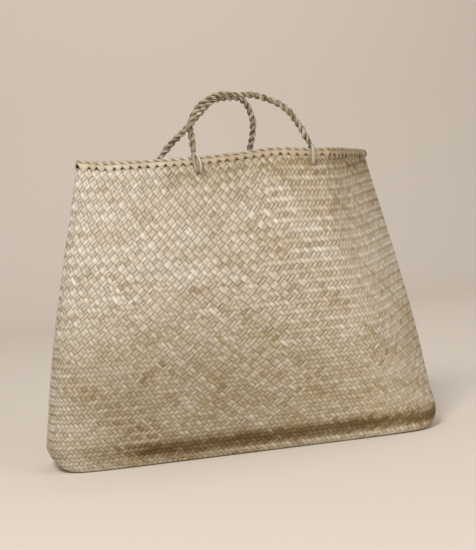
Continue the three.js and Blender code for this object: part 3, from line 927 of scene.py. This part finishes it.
# %% Where the rim is browner and darker, and the core
# CORE_SHADE paints the core's shadow: almost black, less dark towards the right.
CORE_SHADE = {"least": 0.07, "browner_and_darker": 0.26}
# The second row is the turned end, which faces away from the light: its darkening is painted shade.
RIM_BROWNER_AND_DARKER = [(0.6, -130 * MM, 0), (0.4, 90 * MM, 160 * MM)]


def rim_browner_and_darker(places):
    """How far the rim is browner and darker: little at the left, more along the middle, most at the turned
    end, whose extra darkening is painted shade.
    """
    x = places[..., 0]
    return sum(share * step_up(x, start, end) for share, start, end in RIM_BROWNER_AND_DARKER)


# The core is painted almost black, a painted shadow that the holes look in on; towards the right it is
# painted less dark.
core_shade = (CORE_SHADE["least"] + CORE_SHADE["browner_and_darker"] * rim_browner_and_darker(frames[0]))[None, :, None]
add_piece("rim_core_painted_shadow", core_points, grain_field(core_points.shape, which=5.0), 0.0, core_shade, rim_grass,
          "braided_rim", ring=True, loop=True)

# %% The tongues
TONGUE_TOP = 1.0 * MM
TONGUE_LENGTH = 7.6 * MM
TONGUE_STEPS = np.array([0, 0.2, 0.36, 0.5, 0.64, 0.78, 0.9, 1.0])
TONGUE_WIDTHS = np.array([1.1, 1.06, 0.97, 0.84, 0.68, 0.52, 0.4, 0.32])
TONGUE_LIFTS = np.array([2.7, 3.0, 3.1, 3.0, 2.6, 2.0, 1.4, 0.8]) * MM
TONGUE_ACROSS = np.array([-1, -0.8, -0.35, 0.35, 0.8, 1])
TONGUE_ARCH = np.array([-0.5, -0.15, 0, 0, -0.15, -0.5]) * MM
TONGUE_LEAN = 1.2 * MM
TONGUE_OVERLAP = 1.04
TONGUE_CURL = 0.5 * MM
TONGUE_SPREAD = {"width": 0.09, "length": 0.09, "lean": 0.25, "tone": 0.1, "shade": 0.05}
TONGUE_TONE = {"pale": 0.58, "browner_and_darker": 0.4}
TONGUE_SHADE = {"light": 0.85, "browner_and_darker": 0.1, "edges": 0.25}
TONGUES_APART = 1.7
tongue_pitch = girth / TONGUES


def tongue_chance(spread):
    """A random change for each tongue."""
    return random.normal(0, spread, (TONGUES, 1, 1))


for face, side in [("outer", 1), ("inner", -1)]:
    centre, ahead, out, rise = rim_frames(TONGUES, 0.0 if side > 0 else 0.5)
    face_line = centre + out * side * TONGUE_LIFTS.max()
    to_next = np.linalg.norm(np.roll(face_line, -1, axis=0) - face_line, axis=1)
    spread = ((to_next + np.roll(to_next, 1)) / (2 * tongue_pitch))[:, None, None]
    width = tongue_pitch * 0.5 * spread * (TONGUE_OVERLAP + tongue_chance(TONGUE_SPREAD["width"]))
    lengths = TONGUE_LENGTH * (1 + tongue_chance(TONGUE_SPREAD["length"]))
    lean = TONGUE_LEAN * (1 + tongue_chance(TONGUE_SPREAD["lean"]))
    steps = TONGUE_STEPS[None, :, None]
    sideways = width * TONGUE_WIDTHS[None, :, None] * TONGUE_ACROSS + side * lean * steps
    upwards = TONGUE_TOP - lengths * steps - TONGUE_CURL * (TONGUE_ACROSS**2) * (steps - 1)
    outwards = side * (TONGUE_LIFTS[None, :, None] + TONGUE_ARCH * TONGUE_WIDTHS[None, :, None])
    points = (centre[:, None, None] + ahead[:, None, None] * sideways[..., None]
              + out[:, None, None] * outwards[..., None] + rise[:, None, None] * upwards[..., None])
    which = np.arange(TONGUES)[:, None, None] * TONGUES_APART + side
    grain = grain_field(points.shape, sideways, -upwards, which)
    browner_and_darker = rim_browner_and_darker(centre)[:, None, None]
    tone = TONGUE_TONE["pale"] - TONGUE_TONE["browner_and_darker"] * browner_and_darker + tongue_chance(TONGUE_SPREAD["tone"])
    tone = np.clip(tone, 0, 1)
    # Painted shade: darker towards the turned end, and on each tongue's edges, next to the dark holes.
    shade = TONGUE_SHADE["light"] - TONGUE_SHADE["browner_and_darker"] * browner_and_darker
    shade = shade + tongue_chance(TONGUE_SPREAD["shade"]) - TONGUE_SHADE["edges"] * TONGUE_ACROSS**4
    if side < 0:
        points, grain = points[:, :, ::-1], grain[:, :, ::-1]
    add_piece(f"rim_tongues_{face}", points, grain, tone, shade, rim_grass,
              "braided_rim")

# %% The cord on top
YARNS = 2
CORD_STEPS = 1680
CORD_TURNS = TONGUES // 2
CORD_CENTRE = {"out": 0.0, "up": 2.4 * MM}
CORD_RADIUS = {"out": 2.3 * MM, "up": 1.7 * MM}
YARN_RADIUS = {"along_face": 2.4 * MM, "off_face": 1.6 * MM}
YARN_SIDES = 8
YARNS_APART = {"first": 40, "step": 3}
CORD_UNEVEN = {"knots": 120, "size": 0.06}
CORD_TONE = {"pale": 0.7, "browner_and_darker": 0.4}
CORD_TONE_DRIFT = {"knots": 90, "size": 0.12}
CORD_SHADE = {"light": 0.88, "browner_and_darker": 0.1, "edges": 0.42}
CORD_SHADE_DRIFT = {"knots": 200, "size": 0.05}
SEAM_STEPS = 20

frames = rim_frames(CORD_STEPS)
lay_angle = 2 * math.pi * CORD_TURNS * np.arange(CORD_STEPS) / CORD_STEPS
cord_noise = drift(YARNS, CORD_STEPS, **CORD_UNEVEN)
to_seam = np.minimum(np.arange(CORD_STEPS), CORD_STEPS - 1 - np.arange(CORD_STEPS))
cord_noise = cord_noise * np.minimum(1, to_seam / SEAM_STEPS)
yarn_points, yarn_grain = [], []
yarn_turn = np.linspace(0, 2 * math.pi, YARN_SIDES, endpoint=False)
for yarn in range(YARNS):
    angle = -(lay_angle + 2 * math.pi * yarn / YARNS)[:, None]
    face_out, face_up = np.cos(angle), np.sin(angle)
    tangent_out, tangent_up = -np.sin(angle), np.cos(angle)
    grow = 1 + cord_noise[yarn][:, None]
    flat = YARN_RADIUS["along_face"] * np.cos(yarn_turn) * grow
    thick = YARN_RADIUS["off_face"] * np.sin(yarn_turn)
    offset_out = CORD_CENTRE["out"] + CORD_RADIUS["out"] * face_out + thick * face_out + flat * tangent_out
    offset_up = CORD_CENTRE["up"] + CORD_RADIUS["up"] * face_up + thick * face_up + flat * tangent_up
    yarn_points.append(swept_ring(frames, offset_out, offset_up))
    across = YARN_RADIUS["along_face"] * 2 * np.abs(yarn_turn / math.pi - 1)
    travelled = (girth * np.arange(CORD_STEPS) / CORD_STEPS)[:, None]
    which = YARNS_APART["first"] + YARNS_APART["step"] * yarn
    yarn_grain.append(grain_field((CORD_STEPS, YARN_SIDES, 3), across, travelled, which))
browner_and_darker = rim_browner_and_darker(frames[0])
tone = CORD_TONE["pale"] - CORD_TONE["browner_and_darker"] * browner_and_darker + drift(YARNS, CORD_STEPS, **CORD_TONE_DRIFT)
# Painted shade: darker towards the turned end, and on each yarn's edges, where the yarns meet.
shade = CORD_SHADE["light"] - CORD_SHADE["browner_and_darker"] * browner_and_darker + drift(YARNS, CORD_STEPS, **CORD_SHADE_DRIFT)
yarn_shade = 1 - CORD_SHADE["edges"] * np.abs(np.cos(yarn_turn)) ** 3
add_piece("rim_cord", np.array(yarn_points), np.array(yarn_grain), np.clip(tone, 0, 1)[..., None],
          yarn_shade * shade[..., None], rim_grass, "braided_rim", ring=True, loop=True)

# %% [markdown]
# ## The rope handles
# Each handle is a rope of two thick yarns, laid round each other, and each yarn is a bundle of a few
# twisted strands. That double twist is what makes a rope look like rope, so it is built: every
# strand winds round its yarn while the yarn winds round the rope's path. At either end the yarns
# part, run down over the rim and go through the wall, as an eye round the rim.

# %% The ropes' paths
HANDLE_RISE = 75 * MM
HANDLE_LEAN = 14 * MM
CURVE_STEPS = 40
FRONT_ALONG = [0, 0, 0, 0.1, 0.25, 0.4, 0.6, 0.8, 0.9, 1]
FRONT_RISE = [0, 0.25, 0.5, 0.8, 0.95, 0.95, 0.9, 0.7, 0.45, 0]
BACK_ALONG = [0, 0.15, 0.3, 0.45, 0.6, 0.8, 0.95, 1.05, 1.05, 1]
BACK_RISE = [0, 0.25, 0.45, 0.7, 0.9, 0.95, 0.9, 0.6, 0.3, 0]


def soft_curve(points, count, closed=False):
    """Even points on a centripetal Catmull-Rom curve, the same as the solid's."""
    points = np.array(points, float)
    if closed:
        points = np.concatenate([points[-1:], points, points[:2]])
    else:
        points = np.concatenate([[2 * points[0] - points[1]], points, [2 * points[-1] - points[-2]]])
    dense = []
    for k in range(1, len(points) - 2):
        p = points[k - 1:k + 3]
        d = np.sqrt(np.linalg.norm(np.diff(p, axis=0), axis=1))
        first = (p[1] - p[0]) / d[0] - (p[2] - p[0]) / (d[0] + d[1]) + (p[2] - p[1]) / d[1]
        last = (p[2] - p[1]) / d[1] - (p[3] - p[1]) / (d[1] + d[2]) + (p[3] - p[2]) / d[2]
        first, last = first * d[1], last * d[1]
        t = np.linspace(0, 1, CURVE_STEPS, endpoint=False)[:, None]
        cubic = 2 * p[1] - 2 * p[2] + first + last
        square = -3 * p[1] + 3 * p[2] - 2 * first - last
        dense.append(p[1] + first * t + square * t**2 + cubic * t**3)
    dense = np.concatenate(dense + [points[-2:-1]])
    travelled = np.concatenate([[0], np.cumsum(np.linalg.norm(np.diff(dense, axis=0), axis=1))])
    even = np.linspace(0, travelled[-1], count + 1 if closed else count)[:count]
    return np.column_stack([np.interp(even, travelled, dense[:, axis]) for axis in range(3)]), travelled[-1]


# %% Where a handle's loops lie
LOOP_STRAND = 4.8 * MM
LOOP_CLEARANCE = 0.9 * MM


def loop_frame(foot, side):
    """Where a handle's loop lies: the hole, the way up along the wall, the way out and the top."""
    low = wall_point(foot, BAG_HEIGHT - LOOP_DROP, side)
    high = wall_point(foot, BAG_HEIGHT, side)
    rise = (high - low) / np.linalg.norm(high - low)
    ahead = wall_point(foot + LOOP_STRAND, BAG_HEIGHT, side) - high
    out = np.cross(rise, ahead) * side
    out /= np.linalg.norm(out)
    top = high + rise * (LOOP_CLEARANCE + LOOP_STRAND / 2)
    return low, rise, out, top


# %% Tubes along a path
TAPER = {"tip": 0.12, "power": 0.6}


def path_frames(path):
    """The way along a path and two directions across it that turn with it as little as they can."""
    ahead = np.gradient(path, axis=0)
    ahead /= np.linalg.norm(ahead, axis=1, keepdims=True)
    normal = np.array([0.0, -1.0, 0.0])
    sides = []
    for direction in ahead:
        normal = normal - direction * normal.dot(direction)
        normal = normal / np.linalg.norm(normal)
        sides.append(normal)
    sides = np.array(sides)
    return ahead, sides, np.cross(ahead, sides)


def tubes_along(paths, across, thick, sides, taper=0.0):
    """Oval tubes along several paths of as many steps. taper is the share of the ends that thins."""
    turn = np.linspace(0, 2 * math.pi, sides, endpoint=False)
    tubes = []
    for path in paths:
        _, first, second = path_frames(path)
        place = np.linspace(0, 1, len(path))
        thin = np.ones(len(path))
        if taper:
            thin = np.clip(np.minimum(place, 1 - place) / taper, TAPER["tip"], 1) ** TAPER["power"]
        offset = (first[:, None] * (thick * np.sin(turn))[None, :, None]
                  + second[:, None] * (across * np.cos(turn))[None, :, None])
        tubes.append(path[:, None] + offset * thin[:, None, None])
    return np.array(tubes)


# %% Twist the ropes
ROPE_LAY = 18.6 * MM
YARNS_IN_ROPE = 2
STRANDS_IN_YARN = 5
YARN_OFF = 1.8 * MM
STRAND_OFF = 1.75 * MM
ROPE_WOBBLE = {"knots": 30, "size": 0.08}
ROPE_END = {"length": 8 * MM, "share": 0.35}

# Seen from its yarn, which turns with the rope, a strand turns back by this share of each turn
YARN_LAY = 0.55
YARN_PHASE = 0.7


def rope_strands(path, length):
    """Paths of the strands of a rope, drawn closer together at its ends."""
    ahead, first, second = path_frames(path)
    travelled = np.linspace(0, length, len(path))
    lay = 2 * math.pi * travelled / ROPE_LAY
    ends = np.clip(np.minimum(travelled, length - travelled) / ROPE_END["length"], ROPE_END["share"], 1)
    paths = []
    for yarn in range(YARNS_IN_ROPE):
        angle = lay + 2 * math.pi * yarn / YARNS_IN_ROPE
        spoke = first * np.cos(angle)[:, None] + second * np.sin(angle)[:, None]
        swing = np.cross(ahead, spoke)
        for strand in range(STRANDS_IN_YARN):
            inner = -YARN_LAY * lay + 2 * math.pi * strand / STRANDS_IN_YARN + YARN_PHASE * yarn
            wobble = 1 + drift(1, len(path), **ROPE_WOBBLE)[0]
            centre = path + spoke * (YARN_OFF * ends)[:, None]
            around = spoke * np.cos(inner)[:, None] + swing * np.sin(inner)[:, None]
            paths.append(centre + around * (STRAND_OFF * wobble * (0.5 + 0.5 * ends))[:, None])
    return paths


# %% Make the two ropes
ROPE_STEP = 1.15 * MM
ROPE_STRAND_RADIUS = 1.05 * MM
ROPE_STRAND_SIDES = 8
ROPE_STRANDS_APART = 2.3
ROPE_TONE = {"middle": 0.5, "spread": 0.14}
ROPE_TONE_DRIFT = {"knots": 50, "size": 0.22}
# ROPE_SHADE paints each strand darker deep in the rope: painted shade in the rope's hollows.
ROPE_SHADE = {"deep": 0.38, "more": 0.66, "starts": 1.2 * MM, "over": 2.9 * MM}


def make_handle(name, feet, along_table, rise_table, side, node):
    """Makes the rope of one handle and gives its path."""
    left, right = (loop_frame(feet[end], side)[3] for end in ("left", "right"))
    route = [left + (right - left) * along + np.array([0, -side * HANDLE_LEAN, HANDLE_RISE]) * rise
             for along, rise in zip(along_table, rise_table)]
    length = soft_curve(route, len(route))[1]
    path = soft_curve(route, round(length / ROPE_STEP))[0]
    paths = rope_strands(path, length)
    tubes = tubes_along(paths, ROPE_STRAND_RADIUS, ROPE_STRAND_RADIUS, sides=ROPE_STRAND_SIDES)
    turn = np.linspace(0, 1, ROPE_STRAND_SIDES, endpoint=False)
    grain = grain_field(tubes.shape, ROPE_STRAND_RADIUS * 4 * np.abs(turn - 0.5),
                        np.linspace(0, length, len(path))[None, :, None],
                        np.arange(len(paths))[:, None, None] * ROPE_STRANDS_APART)
    tone = ROPE_TONE["middle"] + random.normal(0, ROPE_TONE["spread"], (len(paths), 1))
    tone = np.clip(tone + drift(len(paths), len(path), **ROPE_TONE_DRIFT), 0, 1)
    # Painted shade: each strand darker where it lies deep in the rope.
    from_middle = np.linalg.norm(tubes - path[None, :, None], axis=-1)
    outwards = np.clip((from_middle - ROPE_SHADE["starts"]) / ROPE_SHADE["over"], 0, 1)
    depth_shade = ROPE_SHADE["deep"] + ROPE_SHADE["more"] * outwards
    add_piece(f"{name}_rope", tubes, grain, tone[..., None], depth_shade, rope_grass,
              node, ring=True)
    print(f"{name}: rope {round(length / MM)} mm long, {round(length / ROPE_LAY, 1)} turns")
    return path


front_path = make_handle("front_handle", FRONT_FEET, FRONT_ALONG, FRONT_RISE, -1, "handle_front")
back_path = make_handle("back_handle", BACK_FEET, BACK_ALONG, BACK_RISE, 1, "handle_back")

# %% The eyes round the rim
EYE_STEPS = 56
EYE_SIDES = 8
EYE_LENGTH = 60 * MM
EYE = {"across": 1.85 * MM, "thick": 1.65 * MM}
EYE_CLEARANCE = 0.5 * MM
EYE_ROUTE_POINTS = 28
EYE_SQUARENESS = {"across": 0.55, "up": 0.6}
EYE_GAP = {"least": 0.25, "at_hole": 0.12, "upwards": 0.9, "power": 0.8}
EYE_SPREAD = {("front", "left"): 3.9 * MM, ("front", "right"): 1.1 * MM,
              ("back", "left"): 1.6 * MM, ("back", "right"): 1.6 * MM}


def eye_paths(foot, side, hole, spread):
    """Two strands side by side that go down over the rim, through the wall and up again inside.

    Their lower end is drawn aside to the hole in the weave."""
    low, rise, out, top = loop_frame(foot, side)
    half = RIM_THICKNESS / 2 + EYE_CLEARANCE + EYE["thick"]
    height = np.linalg.norm(top - low)
    sideways = np.cross(rise, out) * -side
    shift = (hole - low).dot(sideways)
    paths = []
    for share in (-1, 1):
        route = []
        for k in range(EYE_ROUTE_POINTS):
            angle = 2 * math.pi * k / EYE_ROUTE_POINTS + math.pi / 2
            c, s = math.cos(angle), math.sin(angle)
            c = math.copysign(abs(c) ** EYE_SQUARENESS["across"], c)
            s = math.copysign(abs(s) ** EYE_SQUARENESS["up"], s)
            level = (1 + s) / 2
            parted = math.sin(math.pi * min(1, level * EYE_GAP["upwards"] + EYE_GAP["at_hole"]))
            gap = spread * (EYE_GAP["least"] + (1 - EYE_GAP["least"]) * parted ** EYE_GAP["power"])
            aside = shift * (1 - level)
            route.append(low + rise * height * level + out * half * c + sideways * (share * gap + aside))
        paths.append(soft_curve(route, EYE_STEPS, closed=True)[0])
    return paths


# %% Make the eyes
EYE_TONE = {"middle": 0.68, "spread": 0.1}
# The edges of the eye's strands are painted darker: painted shade.
EYE_EDGE_SHADE = 0.5
EYES_APART = {"first": 3, "step": 1.9}

for handle, feet, side, node in [("front", FRONT_FEET, -1, "handle_front"),
                                 ("back", BACK_FEET, 1, "handle_back")]:
    loops = []
    for end, foot in feet.items():
        loops += eye_paths(foot, side, holes[handle, end], EYE_SPREAD[handle, end])
    turn = np.linspace(0, 2 * math.pi, EYE_SIDES, endpoint=False)
    tubes = []
    for path in loops:
        ahead = np.roll(path, -1, axis=0) - np.roll(path, 1, axis=0)
        ahead /= np.linalg.norm(ahead, axis=1, keepdims=True)
        wide = np.array([1.0, 0, 0]) - ahead * ahead[:, :1]
        wide /= np.linalg.norm(wide, axis=1, keepdims=True)
        proud = np.cross(ahead, wide)
        tubes.append(path[:, None] + wide[:, None] * (EYE["across"] * np.cos(turn))[None, :, None]
                     + proud[:, None] * (EYE["thick"] * np.sin(turn))[None, :, None])
    tubes = np.array(tubes)
    grain = grain_field(tubes.shape, EYE["across"] * np.cos(turn),
                        np.linspace(0, EYE_LENGTH, EYE_STEPS)[None, :, None],
                        EYES_APART["first"] + np.arange(len(tubes))[:, None, None] * EYES_APART["step"])
    tone = EYE_TONE["middle"] + random.normal(0, EYE_TONE["spread"], (len(tubes), 1, 1))
    # Painted shade on the edges of each strand of the eye
    shade = 1 - EYE_EDGE_SHADE * np.abs(np.cos(turn)) ** 3
    add_piece(f"{handle}_handle_eyes", tubes, grain, np.clip(tone, 0, 1), shade,
              rope_grass, node, ring=True, loop=True)

# %% [markdown]
# ## Loose ends
# Grass splits where it is bent hard, so a few fibres stand off the ropes. On the wall, a strand that
# was too short has been pieced with a new one, and its cut end stands out a little. Both are thin
# slivers, and they are laid out one by one where they show.

# %% Fibres that stand off the ropes
# For each fibre: its place as a share of the rope, its length in millimetres, its turn round the rope
FIBRE_PLACES = {
    "front": [(0.1, 7, 2.6), (0.13, 10, 3.4), (0.15, 8, 0.4), (0.3, 7, 1.6), (0.47, 9, 4.4), (0.66, 8, 0.9),
              (0.72, 11, 1.2), (0.74, 8, 5.6), (0.86, 7, 0.2), (0.92, 9, 3.0)],
    "back": [(0.22, 8, 2.9), (0.3, 12, 3.2), (0.32, 10, 2.4), (0.34, 13, 3.6), (0.36, 9, 2.0), (0.55, 8, 1.0),
             (0.8, 9, 5.2), (0.93, 7, 0.5)],
}
FIBRE_RADIUS = 0.32 * MM
FIBRE_STEPS = 10
FIBRE_SIDES = 5
FIBRE_START = 2.6 * MM
FIBRE_STRAYS = {"share": 0.55, "power": 1.5}
FIBRE_HIDDEN = 2

for handle, path, node in [("front", front_path, "handle_front"), ("back", back_path, "handle_back")]:
    ahead, first, second = path_frames(path)
    slivers = []
    for share, length, turn in FIBRE_PLACES[handle]:
        k = round(share * (len(path) - 1))
        spoke = first[k] * math.cos(turn) + second[k] * math.sin(turn)
        reach = np.linspace(0, 1, FIBRE_STEPS)[:, None]
        strays = length * FIBRE_STRAYS["share"] * MM * reach ** FIBRE_STRAYS["power"]
        slivers.append(path[k] + spoke * (FIBRE_START + strays)
                       + ahead[k] * (length - FIBRE_HIDDEN) * MM * reach)
    tubes = tubes_along(slivers, FIBRE_RADIUS, FIBRE_RADIUS, sides=FIBRE_SIDES, taper=0.8)
    add_piece(f"{handle}_loose_fibres", tubes, grain_field(tubes.shape), 0.8, 0.95,
              rope_grass, node, ring=True)

# %% Cut ends on the wall
# For each end: its strand round the bag, its course, its length in millimetres and its lean
CUT_ENDS = [
    (70.0, 32.0, 4.5, 0.3),
    (69.5, 28.0, 6.0, -0.2),
    (69.0, 25.5, 5.0, 0.25),
    (67.5, 21.5, 10.0, 0.35),
]
CUT_END_HALF_WIDTH = 0.75 * MM
CUT_END_HALF_THICKNESS = 0.3 * MM
CUT_END_SIDES = 6
CUT_END_OFF = {"start": 1.0, "rise": 1.6}
slivers = []
for round_place, course_place, length, lean in CUT_ENDS:
    rounds = np.array([round_place, round_place + 0.5])
    courses = np.array([course_place, course_place + 1.0])
    (low, high), out = bag_surface(rounds, courses)
    upwards = (high - low) / np.linalg.norm(high - low)
    sideways = np.cross(upwards, out[0])
    direction = upwards + sideways * lean
    reach = np.linspace(0, 1, FIBRE_STEPS)[:, None]
    off = CUT_END_OFF["start"] + CUT_END_OFF["rise"] * reach
    slivers.append(low + direction * length * MM * reach + out[0] * off * MM)
ends = tubes_along(slivers, CUT_END_HALF_WIDTH, CUT_END_HALF_THICKNESS, sides=CUT_END_SIDES, taper=0.5)
add_piece("wall_cut_ends", ends, grain_field(ends.shape), 1.0, 1.1, plait_grass,
          "woven_body", ring=True)

# %% [markdown]
# ## Floor and light
# The bag stands on a pale seamless sheet that curves up behind it, as in a small studio. The light is
# soft. A large lamp at the front left gives each strand a lit side, and a weaker one at the
# right keeps the far end readable. A third one lights the sheet alone. The sheet bends up so far back
# that the bag can be walked round. It is only stage, not part of the bag.

# %% Seamless backdrop
STAGE_WIDTH = 16.0
STAGE_FRONT = -8.0
STAGE_BACK = 2.4
STAGE_TOP = 4.2
STAGE_BEND = 0.8
BEND_STEPS = 24


def seamless_sheet():
    """A sheet that lies in front, bends up behind the bag and stands behind it."""
    line = [(STAGE_FRONT, 0.0)]
    for k in range(BEND_STEPS + 1):
        angle = math.pi / 2 * k / BEND_STEPS
        line.append((STAGE_BACK + STAGE_BEND * math.sin(angle), STAGE_BEND * (1 - math.cos(angle))))
    line.append((STAGE_BACK + STAGE_BEND, STAGE_TOP))
    points = [(side * STAGE_WIDTH / 2, y, z) for y, z in line for side in (-1, 1)]
    faces = [(2 * k, 2 * k + 1, 2 * k + 3, 2 * k + 2) for k in range(len(line) - 1)]
    mesh = bpy.data.meshes.new("backdrop")
    mesh.from_pydata(points, [], faces)
    mesh.shade_smooth()
    sheet = bpy.data.objects.new("backdrop", mesh)
    bpy.context.scene.collection.objects.link(sheet)
    return sheet


paper = bpy.data.materials.new("backdrop_paper")
paper.use_nodes = True
paper_skin = paper.node_tree.nodes["Principled BSDF"]
paper_skin.inputs["Base Color"].default_value = linear("#ebe4db")
paper_skin.inputs["Roughness"].default_value = 0.85
backdrop = seamless_sheet()
backdrop.data.materials.append(paper)
print("backdrop:", len(backdrop.data.polygons), "faces")

# %% Lamps
def add_lamp(name, place, target, size, power, colour):
    """A square soft lamp at a place that faces a target."""
    light = bpy.data.lights.new(name, "AREA")
    light.size = size
    light.energy = power
    light.color = linear(colour)[:3]
    lamp = bpy.data.objects.new(name, light)
    lamp.location = place
    direction = Vector(target) - Vector(place)
    lamp.rotation_euler = direction.to_track_quat("-Z", "Y").to_euler()
    bpy.context.scene.collection.objects.link(lamp)
    return lamp


BAG_MIDDLE = (0, 0, 0.2)
SHEET_LIT_AT = (0.9, 3.2, 0.9)
SKY_STRENGTH = 0.38

add_lamp("key_lamp", (-1.15, -1.75, 2.1), BAG_MIDDLE, size=0.9, power=48, colour="#fff8f1")
add_lamp("fill_lamp", (1.8, -1.8, 1.1), BAG_MIDDLE, size=1.6, power=13, colour="#fff9f4")
add_lamp("sheet_lamp", (0.7, 1.0, 2.6), SHEET_LIT_AT, size=1.8, power=17, colour="#fff6ee")
print("lamps:", [light.name for light in bpy.data.lights])

# %% The light of the room
sky = bpy.data.worlds.new("studio")
bpy.context.scene.world = sky
sky.use_nodes = True
sky.node_tree.nodes["Background"].inputs["Color"].default_value = linear("#f4efe8")
sky.node_tree.nodes["Background"].inputs["Strength"].default_value = SKY_STRENGTH
bpy.context.scene.view_settings.view_transform = "Standard"
print("light of the room:", SKY_STRENGTH)

# %% Finish
bpy.context.view_layer.update()
